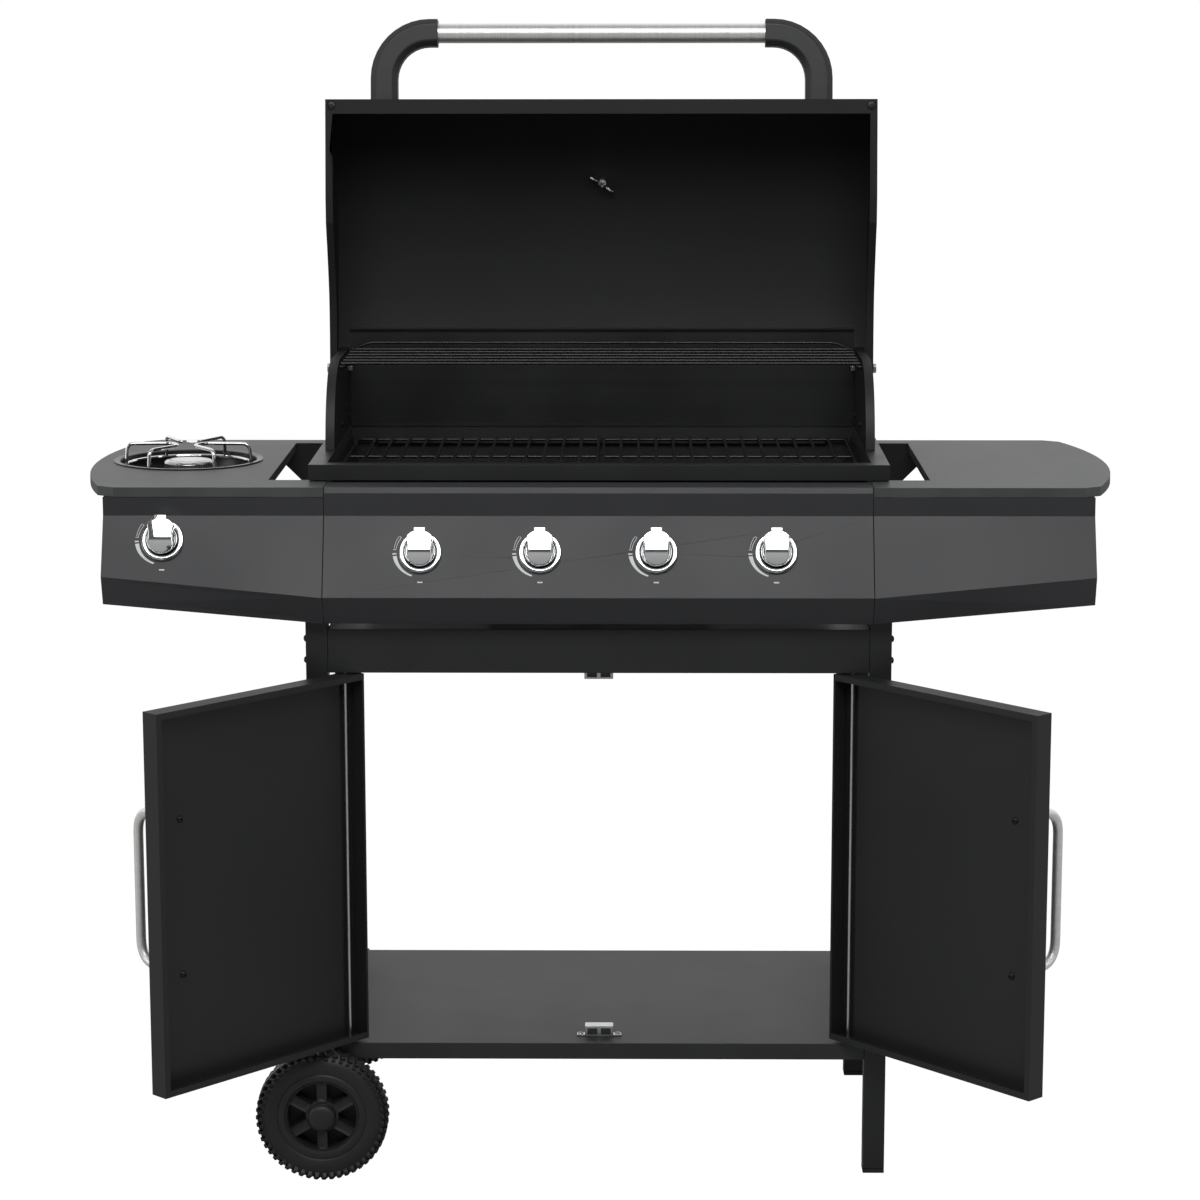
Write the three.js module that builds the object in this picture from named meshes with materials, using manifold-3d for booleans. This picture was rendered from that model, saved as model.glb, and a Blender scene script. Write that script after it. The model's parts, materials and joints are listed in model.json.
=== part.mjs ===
// Gas barbecue grill on a cart: four burners, a side burner, a hinged lid and two doors.
// Millimetres, +Z up, +X to the viewer's right, +Y to the back. The floor is Z = 0.
import * as THREE from "three";
import { mergeVertices } from "three/addons/utils/BufferGeometryUtils.js";
import Module from "manifold-3d";

const wasm = await Module();
wasm.setup();

// ---- driving dimensions -------------------------------------------------------------
const GAP = 0.4; // between two pieces that touch
const SHEET = 1.5; // sheet steel
const TABLE_TOP = 880; // height of the side tables
const LEG = 27; // square leg tube
const LEG_WALL = 1.5;
const CART_WIDTH = 724; // over the outer faces of the legs
const SIDE_WIDTH = 288; // from the legs to the bulging end of a side table
const WIDTH = CART_WIDTH + 2 * SIDE_WIDTH;
const CART_DEPTH = 413; // over the front and rear faces of the legs
const WHEEL_RADIUS = 83.5;
const WHEEL_WIDTH = 32;
const WHEEL_GAP = 2.5; // between a wheel and its leg
const HUB_RADIUS = 17;
const RIM_OPENING = 44; // radius inside the tyre where the spokes show
const AXLE_RADIUS = 5;
const AXLE_PLAY = 0.5;
const FOOT_HEIGHT = 6;
const SHELF_TOP = 2 * WHEEL_RADIUS + 4; // the open doors swing over the wheel
const SHELF_LIP = 21;
const RAIL_HEIGHT = 55;
const RAIL_DEPTH = 46;
const PANEL_WIDTH = CART_WIDTH - 50; // control panel, between the two seams
const PANEL_BOTTOM = TABLE_TOP - 166;
const RAIL_TOP = PANEL_BOTTOM - 11;
const BEND_HIGH = TABLE_TOP - 35; // upper crease of the control panel
const BEND_LOW = TABLE_TOP - 130; // lower crease
const BULGE = 42; // how far the lower crease stands in front of the legs
const FASCIA_END = WIDTH / 2 - 42; // outer end of the side fascias, from the middle
const FASCIA_FLANGE = 14; // depth of the flange along the top of a fascia
const FASCIA_RETURN = 55; // how far back the end plates of the fascias reach
const FASCIA_RISE = 24; // how much higher the fascia's lower edge is at its outer end
const TABLE_BACK = CART_DEPTH + 23;
const TABLE_RIM = 12;
const TABLE_CORNER_X = WIDTH / 2 - 39; // where the bulging end of a table starts
const SLOT_OUTER = CART_WIDTH / 2 + 49;
const SLOT_FRONT = 62;
const SLOT_BACK = CART_DEPTH - 8;
const RIM_HALF = CART_WIDTH / 2 - 2; // firebox rim
const RIM_TOP = TABLE_TOP + 21;
const RIM_HEIGHT = 19.5;
const RIM_FRONT = 48;
const RIM_BACK = CART_DEPTH + 17;
const RIM_WIDTH = LEG - 5; // the tub passes between the legs
const TUB_BOTTOM = RIM_TOP - 163;
const TUB_TAPER = 38; // how far each end wall leans in
const TUB_TAPER_Y = 13;
const END_THICK = 11.5; // double-skinned hood ends
const END_OUTER = RIM_HALF - 9.5;
const END_TOP = RIM_TOP + 106;
const BACK_PANEL_TOP = RIM_TOP + 132;
const HINGE_Y = RIM_BACK - 34;
const END_FRONT = HINGE_Y - 218;
const HINGE_Z = RIM_TOP + 81;
const HINGE_RADIUS = 3;
const LID_HALF = RIM_HALF + 1.3;
const LID_FRONT = 47;
const LID_GAP = 2; // between the closed lid and the firebox rim
const LID_OPEN = 98; // degrees from closed to the pose shown
const LIP_DEPTH = 19;
const SIDE_FLANGE = 9.5;
const HANDLE_RADIUS = 13;
const HANDLE_Y = LID_FRONT - 92;
const HANDLE_Z = RIM_TOP + 53;
const WING_HALF = 17; // half of the wing nut's span
const DIAL_RADIUS = 27;
const ELBOW_X = LID_HALF - 74.3;
const ELBOW_BEND = 60;
const ELBOW_WIDE = 36;
const ELBOW_TALL = 33;
const ELBOW_CHAMFER = 7;
const DOOR_BOTTOM = SHELF_TOP + 5;
const DOOR_TOP = RAIL_TOP - RAIL_HEIGHT - 2;
const DOOR_DEPTH = 25;
const DOOR_LIP = 8;
const DOOR_OPEN = 133; // degrees from closed to the pose shown
const PIN_X = CART_WIDTH / 2 - LEG - 20.5; // door pin, from the middle
const PIN_Y = 7; // close behind the door faces, so that the open doors clear the legs
const PIN_RADIUS = 2.2;
const PIN_PLAY = 0.6;
const DOOR_HINGE_SIDE = 15.5; // from the pin to the door's hinge edge
const DOOR_MEET = 1.5; // from the middle to the door's free edge
const CATCH_GAP = 1.5; // between a closed door and the magnets
const DOOR_HANDLE_SPAN = 192;
const DOOR_HANDLE_REACH = 78;
const DOOR_HANDLE_INSET = 51;
const DOOR_HANDLE_RADIUS = 6;
const BURNER_SPAN = 435; // between the outer two of the four burners
const BURNER_MIDDLE = 142; // between the middle two
const BURNER_X = [-BURNER_SPAN, -BURNER_MIDDLE, BURNER_MIDDLE, BURNER_SPAN].map((apart) => apart / 2);
const BURNER_RADIUS = 12;
const BURNER_Z = RIM_TOP - 109;
const SIDE_BURNER_X = 116.5 - WIDTH / 2;
const SIDE_BURNER_Y = CART_DEPTH / 2 + 31.5;
const SIDE_BURNER_RADIUS = 91;
const KNOB_Z = TABLE_TOP - 78;
const SIDE_KNOB_Z = TABLE_TOP - 64;
const KNOB_RADIUS = 20;
const KNOB_GAP = 6; // room for the bezel under the knob
const STEM_RADIUS = 4;
const STEM_LENGTH = 30;
const MANIFOLD_Y = 44;
const MANIFOLD_RADIUS = 8;
const GRATE_Z = RIM_TOP - 11;
const GRATE_WIRE = 4;
const GRATE_PITCH = 23;
const GRATE_PLAY = 3; // between a grate and the firebox walls
const RACK_Z = RIM_TOP + 105;
const RACK_FRONT = RIM_BACK - 192;
const RACK_BACK = RIM_BACK - 22;
const RACK_WIRES = 6;
const TRAY_HALF = 139;
const TRAY_TOP = TUB_BOTTOM - 6;
const TRAY_DEPTH = 17;
const TRAY_FRONT = 92;
const TRAY_BACK = CART_DEPTH - 13;
const CUP_X = -8;
const CUP_Y = CART_DEPTH / 2 + 38.5;
const CUP_RADIUS = 32;
const CUP_TOP = TRAY_TOP - 70;
const CUP_HEIGHT = 45;

// ---- materials ----------------------------------------------------------------------
function finish(color, roughness, metalness) {
  return new THREE.MeshStandardMaterial({ color, roughness, metalness });
}
const BLACK = finish(0x1d1f20, 0.45, 0.3);
const PANEL = finish(0x2e2f32, 0.5, 0.3);
const TABLE = finish(0x3a3c3c, 0.6, 0.2);
const ENAMEL = finish(0x17191a, 0.3, 0.2);
const STEEL = finish(0xb9bab8, 0.35, 1);
const CHROME = finish(0xe6e6e6, 0.08, 1);
const ZINC = finish(0xa9abac, 0.4, 1);
const BRASS = finish(0xb08d4a, 0.35, 1);
const PLASTIC = finish(0x161717, 0.6, 0);

// ---- solids -------------------------------------------------------------------------
function solid(geometry) {
  const bare = new THREE.BufferGeometry();
  const flat = geometry.index ? geometry.toNonIndexed() : geometry;
  bare.setAttribute("position", flat.getAttribute("position"));
  const merged = mergeVertices(bare, 1e-4);
  return new wasm.Manifold(
    new wasm.Mesh({
      numProp: 3,
      vertProperties: new Float32Array(merged.attributes.position.array),
      triVerts: new Uint32Array(merged.index.array),
    }),
  );
}

function union(solids) {
  return solids.reduce((a, b) => a.add(b));
}

function box(x0, x1, y0, y1, z0, z1) {
  const g = new THREE.BoxGeometry(x1 - x0, y1 - y0, z1 - z0);
  g.translate((x0 + x1) / 2, (y0 + y1) / 2, (z0 + z1) / 2);
  return solid(g);
}

// A box placed by its right-hand copy's limits; side -1 mirrors it to the left.
function sideBox(side, x0, x1, y0, y1, z0, z1) {
  return side > 0 ? box(x0, x1, y0, y1, z0, z1) : box(-x1, -x0, y0, y1, z0, z1);
}

// A round bar between two points.
function rod(from, to, radius, sides = 12) {
  const a = new THREE.Vector3(...from);
  const b = new THREE.Vector3(...to);
  const g = new THREE.CylinderGeometry(radius, radius, a.distanceTo(b), sides);
  const along = b.clone().sub(a).normalize();
  g.applyQuaternion(new THREE.Quaternion().setFromUnitVectors(new THREE.Vector3(0, 1, 0), along));
  g.translate((a.x + b.x) / 2, (a.y + b.y) / 2, (a.z + b.z) / 2);
  return solid(g);
}

// A flat outline of [a, b] points pushed from depth 0 to depth.
function extruded(points, depth) {
  const shape = new THREE.Shape(points.map(([a, b]) => new THREE.Vector2(a, b)));
  return new THREE.ExtrudeGeometry(shape, { depth, bevelEnabled: false });
}

// An outline of [y, z] points pushed along X from x0 to x1.
function alongX(points, x0, x1) {
  const g = extruded(points, x1 - x0);
  g.applyMatrix4(new THREE.Matrix4().set(0, 0, 1, x0, 1, 0, 0, 0, 0, 1, 0, 0, 0, 0, 0, 1));
  return solid(g);
}

// An outline of [x, z] points pushed along Y from y0 to y1.
function alongY(points, y0, y1) {
  const g = extruded(points, y1 - y0);
  g.applyMatrix4(new THREE.Matrix4().set(1, 0, 0, 0, 0, 0, -1, y1, 0, 1, 0, 0, 0, 0, 0, 1));
  return solid(g);
}

// An outline of [x, y] points pushed up from z0 to z1.
function alongZ(points, z0, z1) {
  const g = extruded(points, z1 - z0);
  g.translate(0, 0, z0);
  return solid(g);
}

// A profile of [radius, height] points turned about a vertical line.
function turned(points, x, y, sides = 32) {
  const g = new THREE.LatheGeometry(points.map(([r, z]) => new THREE.Vector2(r, z)), sides);
  g.rotateX(Math.PI / 2);
  g.translate(x, y, 0);
  return solid(g);
}

// A flat section of [across, up] points swept along a route; its rings halve each bend.
function swept(section, route, up) {
  const at = route.map((p) => new THREE.Vector3(...p));
  const way = at.slice(1).map((b, i) => b.clone().sub(at[i]).normalize());
  const across = new THREE.Vector3(...up).cross(way[0]).normalize();
  const rise = way[0].clone().cross(across);
  let ring = section.map(([a, b]) => at[0].clone().addScaledVector(across, a).addScaledVector(rise, b));
  const n = section.length;
  const faces = [];
  for (let k = 1; k < n - 1; k++) {
    faces.push(ring[0], ring[k + 1], ring[k]);
  }
  for (let i = 1; i < at.length; i++) {
    const along = way[i - 1];
    const plane = i < way.length ? along.clone().add(way[i]) : along;
    const next = ring.map((p) =>
      p.clone().addScaledVector(along, at[i].clone().sub(p).dot(plane) / along.dot(plane)),
    );
    for (let k = 0; k < n; k++) {
      const l = (k + 1) % n;
      faces.push(ring[k], ring[l], next[l], ring[k], next[l], next[k]);
    }
    ring = next;
  }
  for (let k = 1; k < n - 1; k++) {
    faces.push(ring[0], ring[k], ring[k + 1]);
  }
  const g = new THREE.BufferGeometry();
  g.setAttribute("position", new THREE.Float32BufferAttribute(faces.flatMap((p) => p.toArray()), 3));
  return solid(g);
}

// A wire through corner points, each corner a short bend.
function wire(points, radius, bend = 6, sides = 6) {
  const v = points.map((p) => new THREE.Vector3(...p));
  const route = [v[0]];
  for (let i = 1; i < v.length - 1; i++) {
    const before = v[i].clone().add(v[i - 1].clone().sub(v[i]).setLength(bend));
    const after = v[i].clone().add(v[i + 1].clone().sub(v[i]).setLength(bend));
    route.push(...new THREE.QuadraticBezierCurve3(before, v[i], after).getPoints(2));
  }
  route.push(v[v.length - 1]);
  const section = [];
  for (let k = 0; k < sides; k++) {
    const a = (k / sides) * 2 * Math.PI;
    section.push([radius * Math.cos(a), radius * Math.sin(a)]);
  }
  const first = route[1].clone().sub(route[0]);
  const level = Math.abs(first.z) < Math.abs(first.x) + Math.abs(first.y);
  return swept(section, route.map((p) => p.toArray()), level ? [0, 0, 1] : [1, 0, 0]);
}

// The same outline moved sideways by the sheet's thickness, for folded sheets.
function folded(points, thickness) {
  const inner = points.map((p, i) => {
    const a = points[Math.max(i - 1, 0)];
    const b = points[Math.min(i + 1, points.length - 1)];
    const n1 = normal(i ? a : p, i ? p : b);
    const n2 = normal(i < points.length - 1 ? p : a, i < points.length - 1 ? b : p);
    const s = thickness / (1 + n1[0] * n2[0] + n1[1] * n2[1]);
    return [p[0] + (n1[0] + n2[0]) * s, p[1] + (n1[1] + n2[1]) * s];
  });
  return [...points, ...inner.reverse()];
}

function normal(a, b) {
  const l = Math.hypot(b[0] - a[0], b[1] - a[1]);
  return [-(b[1] - a[1]) / l, (b[0] - a[0]) / l];
}

function smooth(points, count) {
  const curve = new THREE.CatmullRomCurve3(points.map(([a, b]) => new THREE.Vector3(a, b, 0)));
  return curve.getSpacedPoints(count).map((p) => [p.x, p.y]);
}

// A tapered box between a lower and an upper rectangle {x0, x1, y0, y1, z}.
function tapered(low, high) {
  const g = new THREE.BoxGeometry(1, 1, 1);
  const p = g.attributes.position;
  for (let i = 0; i < p.count; i++) {
    const r = p.getZ(i) > 0 ? high : low;
    p.setXYZ(i, p.getX(i) > 0 ? r.x1 : r.x0, p.getY(i) > 0 ? r.y1 : r.y0, r.z);
  }
  return solid(g);
}

// A solid between two outlines of [y, z] points with as many points each, at x0 and x1.
function lofted(outlineA, x0, outlineB, x1) {
  const n = outlineA.length;
  const cap = THREE.ShapeUtils.triangulateShape(
    outlineA.map(([a, b]) => new THREE.Vector2(a, b)),
    [],
  );
  const at = [...outlineA.map(([y, z]) => [x0, y, z]), ...outlineB.map(([y, z]) => [x1, y, z])];
  const faces = [];
  for (const [a, b, c] of cap) {
    faces.push([a, c, b], [a + n, b + n, c + n]);
  }
  for (let i = 0; i < n; i++) {
    const j = (i + 1) % n;
    faces.push([i, j, j + n], [i, j + n, i + n]);
  }
  const g = new THREE.BufferGeometry();
  g.setAttribute("position", new THREE.Float32BufferAttribute(faces.flat().flatMap((i) => at[i]), 3));
  return solid(g);
}

// ---- the assembly -------------------------------------------------------------------
const grill = new THREE.Group();
grill.name = "gas_barbecue_grill";

function geometryOf(made) {
  const m = made.getMesh();
  const g = new THREE.BufferGeometry();
  const v = new Float32Array(m.numVert * 3);
  for (let i = 0; i < m.numVert; i++) {
    v.set(m.vertProperties.subarray(i * m.numProp, i * m.numProp + 3), i * 3);
  }
  g.setAttribute("position", new THREE.BufferAttribute(v, 3));
  g.setIndex(new THREE.BufferAttribute(new Uint32Array(m.triVerts), 1));
  g.computeVertexNormals();
  return g;
}

function piece(name, made, material, group = grill) {
  const mesh = new THREE.Mesh(geometryOf(made), material);
  mesh.name = name;
  group.add(mesh);
  return mesh;
}

const SIDES = [
  ["left", -1],
  ["right", 1],
];
const LEG_OUT = CART_WIDTH / 2;
const LEG_IN = LEG_OUT - LEG;
const LEG_MID = LEG_OUT - LEG / 2;
const REAR = CART_DEPTH - LEG;
const TABLE_SHEET = TABLE_TOP - SHEET;
const LEG_TOP = TABLE_TOP - 10; // the front creases of the sheets pass above it

// ---- cart: legs, feet, shelf, rails, axle and wheels ---------------------------------
function leg(side, y, bottom) {
  const [x0, x1] = [LEG_IN, LEG_OUT];
  const tube = sideBox(side, x0, x1, y, y + LEG, bottom, LEG_TOP);
  const w = LEG_WALL;
  const bore = sideBox(side, x0 + w, x1 - w, y + w, y + LEG - w, bottom - 1, LEG_TOP + 1);
  return tube.subtract(bore);
}

// The triangular plate that carries a side table off the rear leg.
function gusset(side) {
  const reach = 92;
  const top = TABLE_SHEET - GAP;
  const outline = [
    [side * (LEG_OUT - 0.5), top],
    [side * (LEG_OUT - 0.5), top - reach],
    [side * (LEG_OUT + reach), top],
  ];
  return alongY(side > 0 ? outline : outline.reverse(), SLOT_BACK + 1, SLOT_BACK + 4);
}

function axleHole(y0, y1) {
  const r = AXLE_RADIUS + AXLE_PLAY;
  return rod([-LEG_MID, y0, WHEEL_RADIUS], [-LEG_MID, y1, WHEEL_RADIUS], r, 16);
}

for (const [name, side] of SIDES) {
  const bottom = side < 0 ? WHEEL_RADIUS - 26 : FOOT_HEIGHT;
  let front = leg(side, 0, bottom);
  let rear = leg(side, REAR, bottom).add(gusset(side));
  if (side < 0) {
    front = front.subtract(axleHole(-1, LEG + 1));
    rear = rear.subtract(axleHole(REAR - 1, CART_DEPTH + 1));
  }
  piece("front_leg_" + name, front, BLACK);
  piece("rear_leg_" + name, rear, BLACK);
  const railZ = PANEL_BOTTOM - 12;
  piece(
    "side_rail_" + name,
    sideBox(side, LEG_IN + 3, LEG_OUT - 4, LEG + GAP, REAR - GAP, railZ, railZ + 25),
    BLACK,
  );
}

function foot(y) {
  const w = LEG_WALL + GAP;
  const cap = box(LEG_IN, LEG_OUT, y, y + LEG, 0, FOOT_HEIGHT - GAP);
  const plug = box(LEG_IN + w, LEG_OUT - w, y + w, y + LEG - w, FOOT_HEIGHT - 1, FOOT_HEIGHT + 14);
  return cap.add(plug);
}
piece("foot_cap_front", foot(0), PLASTIC);
piece("foot_cap_rear", foot(REAR), PLASTIC);

function doorPinHoles(made, z0, z1) {
  let cut = made;
  for (const side of [-1, 1]) {
    const x = side * PIN_X;
    cut = cut.subtract(rod([x, PIN_Y, z0], [x, PIN_Y, z1], PIN_RADIUS + PIN_PLAY, 12));
  }
  return cut;
}

function shelf() {
  const x = LEG_IN - GAP;
  const z = SHELF_TOP - SHELF_LIP;
  const tray = box(-x, x, 0, CART_DEPTH, z, SHELF_TOP);
  const inside = box(-x + SHEET, x - SHEET, SHEET, CART_DEPTH - SHEET, z - 1, SHELF_TOP - SHEET);
  return doorPinHoles(tray.subtract(inside), SHELF_TOP - 5, SHELF_TOP + 5);
}
piece("bottom_shelf", shelf(), TABLE);

function frontRail() {
  const x = LEG_IN - GAP;
  const z = RAIL_TOP - RAIL_HEIGHT;
  const bar = box(-x, x, 0, RAIL_DEPTH, z, RAIL_TOP);
  const open = box(-x - 1, x + 1, SHEET, RAIL_DEPTH + 1, z + SHEET, RAIL_TOP - SHEET);
  const ends = box(-x, x, 0, LEG, z, RAIL_TOP).subtract(
    box(-x + SHEET, x - SHEET, -1, LEG + 1, z - 1, RAIL_TOP + 1),
  );
  return doorPinHoles(bar.subtract(open).add(ends), z - 5, z + 5);
}
piece("front_rail", frontRail(), BLACK);

const AXLE_END = WHEEL_WIDTH + WHEEL_GAP + 4;
piece(
  "wheel_axle",
  rod([-LEG_MID, -AXLE_END, WHEEL_RADIUS], [-LEG_MID, CART_DEPTH + AXLE_END, WHEEL_RADIUS], AXLE_RADIUS, 16),
  ZINC,
);

// A moulded wheel about its own axis, which lies along Z here.
function wheelBody() {
  const r = WHEEL_RADIUS;
  const w = WHEEL_WIDTH / 2;
  const bore = AXLE_RADIUS + AXLE_PLAY;
  const profile = [
    [bore, -w],
    [HUB_RADIUS, -w],
    [HUB_RADIUS + 1, -8],
    [RIM_OPENING - 2, -8],
    [RIM_OPENING + 1, -w],
    [r - 7, -w],
    [r, -w + 7],
    [r, w - 7],
    [r - 7, w],
    [RIM_OPENING + 1, w],
    [RIM_OPENING - 2, 8],
    [HUB_RADIUS + 1, 8],
    [HUB_RADIUS, w],
    [bore, w],
    [bore, -w],
  ];
  let made = turned(profile, 0, 0, 32);
  const spokes = 6;
  for (let i = 0; i < spokes; i++) {
    const a = ((i + 0.5) / spokes) * 2 * Math.PI;
    const half = Math.PI / spokes;
    const outline = [];
    for (const [radius, spread] of [
      [HUB_RADIUS + 5, half - 0.3],
      [RIM_OPENING - 6, half - 0.17],
    ]) {
      const arc = [-1, 0, 1].map((k) => a + k * spread);
      const points = arc.map((t) => [radius * Math.cos(t), radius * Math.sin(t)]);
      outline.push(...(radius > 30 ? points : points.reverse()));
    }
    made = made.subtract(alongZ(outline.reverse(), -20, 20));
  }
  return made;
}

for (const [name, y] of [
  ["front", -WHEEL_GAP - WHEEL_WIDTH / 2],
  ["rear", CART_DEPTH + WHEEL_GAP + WHEEL_WIDTH / 2],
]) {
  const wheel = piece("wheel_" + name, wheelBody(), PLASTIC);
  wheel.rotation.x = Math.PI / 2;
  wheel.position.set(-LEG_MID, y, WHEEL_RADIUS);
}

// ---- control panel, fascias and side tables ------------------------------------------
const FACE = -GAP - SHEET; // front of the sheet that covers the legs
const TILT = Math.atan2(BULGE, BEND_HIGH - BEND_LOW);
const facetY = (z) => FACE - (BEND_HIGH - z) * Math.tan(TILT);

// The folded front, from the given top points down to its lower flange; rise lifts the lower part.
function frontOutline(rise, top) {
  return folded(
    [
      ...top,
      [FACE, BEND_HIGH],
      [facetY(BEND_LOW + rise), BEND_LOW + rise],
      [FACE - 20, PANEL_BOTTOM + rise],
      [FACE - 4, PANEL_BOTTOM + rise],
    ],
    SHEET,
  );
}

function stemHole(x, z) {
  const y = facetY(z);
  const [c, s] = [Math.cos(TILT), Math.sin(TILT)];
  const r = STEM_RADIUS + 2;
  return rod([x, y - 9 * c, z + 9 * s], [x, y + 9 * c, z - 9 * s], r, 16);
}

function controlPanel() {
  const half = PANEL_WIDTH / 2 - GAP;
  const top = [
    [RIM_FRONT - 4, TABLE_TOP],
    [FACE + 4, TABLE_TOP],
    [FACE, TABLE_TOP - 7],
  ];
  let made = alongX(frontOutline(0, top), -half, half);
  for (const x of BURNER_X) {
    made = made.subtract(stemHole(x, KNOB_Z));
  }
  return made;
}
piece("control_panel", controlPanel(), PANEL);

function sideFascia(side) {
  const top = TABLE_TOP - TABLE_RIM - GAP;
  const upper = [
    [FACE + FASCIA_FLANGE, top],
    [FACE, top],
  ];
  const inner = frontOutline(0, upper);
  const outer = frontOutline(FASCIA_RISE, upper);
  const x0 = PANEL_WIDTH / 2 + GAP;
  const skin = side > 0 ? lofted(inner, x0, outer, FASCIA_END) : lofted(outer, -FASCIA_END, inner, -x0);
  // The end plate closes the outer end and stops short of the side burner.
  const z = PANEL_BOTTOM + FASCIA_RISE;
  const bend = BEND_LOW + FASCIA_RISE;
  const end = alongX(
    [
      [FACE + 0.2, top - 0.2],
      [FACE + 0.2, BEND_HIGH],
      [facetY(bend) + 0.2, bend],
      [FACE - 19.8, z + 0.2],
      [FASCIA_RETURN, z + 20],
      [FASCIA_RETURN, top - 0.2],
    ],
    side > 0 ? FASCIA_END - SHEET : -FASCIA_END,
    side > 0 ? FASCIA_END : -FASCIA_END + SHEET,
  );
  // The upper flange is notched round the front leg.
  const notch = sideBox(side, x0 - 1, LEG_OUT + 1, -GAP, FACE + FASCIA_FLANGE + 1, top - SHEET - 1, top + 1);
  const whole = skin.add(end).subtract(notch);
  return side < 0 ? whole.subtract(stemHole(SIDE_BURNER_X, SIDE_KNOB_Z)) : whole;
}

// Plan of a side table: straight front and back, a bulging outer end with rounded corners.
function tablePlan(side, grow) {
  const x0 = PANEL_WIDTH / 2 + GAP;
  const bulge = WIDTH / 2 - TABLE_CORNER_X;
  const half = (TABLE_BACK - FACE) / 2;
  const radius = (half * half + bulge * bulge) / (2 * bulge);
  const cx = WIDTH / 2 - radius;
  const cy = (TABLE_BACK + FACE) / 2;
  const spread = Math.asin((half - 14) / radius);
  const points = [[x0 - grow, FACE - grow]];
  points.push([TABLE_CORNER_X - 16, FACE - grow]);
  for (let i = 0; i <= 16; i++) {
    const a = -spread + (i / 16) * 2 * spread;
    points.push([cx + (radius + grow) * Math.cos(a), cy + (radius + grow) * Math.sin(a)]);
  }
  points.push([TABLE_CORNER_X - 16, TABLE_BACK + grow], [x0 - grow, TABLE_BACK + grow]);
  return side > 0 ? points : points.map(([x, y]) => [-x, y]).reverse();
}

function sideTable(side) {
  const low = TABLE_TOP - TABLE_RIM;
  const plate = alongZ(tablePlan(side, 0), low, TABLE_TOP);
  const under = alongZ(tablePlan(side, -SHEET), low - 1, TABLE_SHEET);
  let made = plate.subtract(under);
  const x0 = PANEL_WIDTH / 2 + GAP;
  // The inner end stays open under the firebox rim, around the legs.
  made = made.subtract(sideBox(side, x0 - 1, SLOT_OUTER, FACE + SHEET, TABLE_BACK + 1, low - 1, TABLE_SHEET));
  made = made.subtract(sideBox(side, x0 - 1, SLOT_OUTER, SLOT_FRONT, SLOT_BACK, low - 2, TABLE_TOP + 1));
  // Folded edge along the slot.
  const z1 = TABLE_TOP - SHEET / 2;
  made = made.add(sideBox(side, SLOT_OUTER, SLOT_OUTER + SHEET, SLOT_FRONT, SLOT_BACK, low, z1));
  if (side < 0) {
    const r = SIDE_BURNER_RADIUS + 1;
    made = made.subtract(
      rod([SIDE_BURNER_X, SIDE_BURNER_Y, low - 5], [SIDE_BURNER_X, SIDE_BURNER_Y, TABLE_TOP + 5], r, 48),
    );
  }
  return made;
}

for (const [name, side] of SIDES) {
  piece("side_fascia_" + name, sideFascia(side), PANEL);
  piece("side_table_" + name, sideTable(side), TABLE);
}

// ---- firebox ---------------------------------------------------------------------------
const TUB_HALF = RIM_HALF - RIM_WIDTH + SHEET;
const TUB_FRONT = RIM_FRONT + RIM_WIDTH - 3.5;
const TUB_BACK = RIM_BACK - 13.5;

function tubLevel(z, inset) {
  const t = (RIM_TOP - z) / (RIM_TOP - TUB_BOTTOM);
  const x = TUB_HALF - TUB_TAPER * t - inset;
  const y = TUB_TAPER_Y * t + inset;
  return { x0: -x, x1: x, y0: TUB_FRONT + y, y1: TUB_BACK - y, z };
}

function firebox() {
  const z0 = RIM_TOP - RIM_HEIGHT;
  const cap = box(-RIM_HALF, RIM_HALF, RIM_FRONT, RIM_BACK, z0, RIM_TOP);
  const under = box(
    -RIM_HALF + SHEET,
    RIM_HALF - SHEET,
    RIM_FRONT + SHEET,
    RIM_BACK - SHEET,
    z0 - 1,
    RIM_TOP - SHEET,
  );
  const outer = tapered(tubLevel(TUB_BOTTOM, 0), tubLevel(RIM_TOP - 0.2, 0));
  const inner = tapered(tubLevel(TUB_BOTTOM + SHEET, SHEET), tubLevel(RIM_TOP + 1, SHEET));
  let made = cap.subtract(under).add(outer).subtract(inner);
  made = made.subtract(box(-60, 60, CUP_Y - 60, CUP_Y + 60, TUB_BOTTOM - 5, TUB_BOTTOM + 5));
  // Ledges that the cooking grates rest on.
  const ledgeZ = GRATE_Z - 2 * GRATE_WIRE - GAP - 2;
  const level = tubLevel(ledgeZ, 0.5);
  const reach = level.x1 - 34;
  made = made.add(box(-reach, reach, level.y0, level.y0 + 10, ledgeZ, ledgeZ + 2));
  made = made.add(box(-reach, reach, level.y1 - 10, level.y1, ledgeZ, ledgeZ + 2));
  // Runners that the drip tray slides on.
  const x0 = TRAY_HALF + 1;
  const foot = TRAY_TOP - TRAY_DEPTH - GAP;
  for (const side of [-1, 1]) {
    const [y0, y1] = [TRAY_FRONT + 4, TRAY_BACK - 4];
    made = made.add(sideBox(side, x0, x0 + SHEET, y0, y1, foot - SHEET, TUB_BOTTOM + 0.5));
    made = made.add(sideBox(side, x0 - 9, x0 + SHEET, y0, y1, foot - SHEET, foot));
  }
  // Holes for the burner tubes.
  for (const x of BURNER_X) {
    const r = BURNER_RADIUS + 1;
    made = made.subtract(rod([x, TUB_FRONT - 10, BURNER_Z], [x, TUB_FRONT + 30, BURNER_Z], r, 16));
  }
  return made;
}
piece("firebox", firebox(), ENAMEL);

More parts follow.
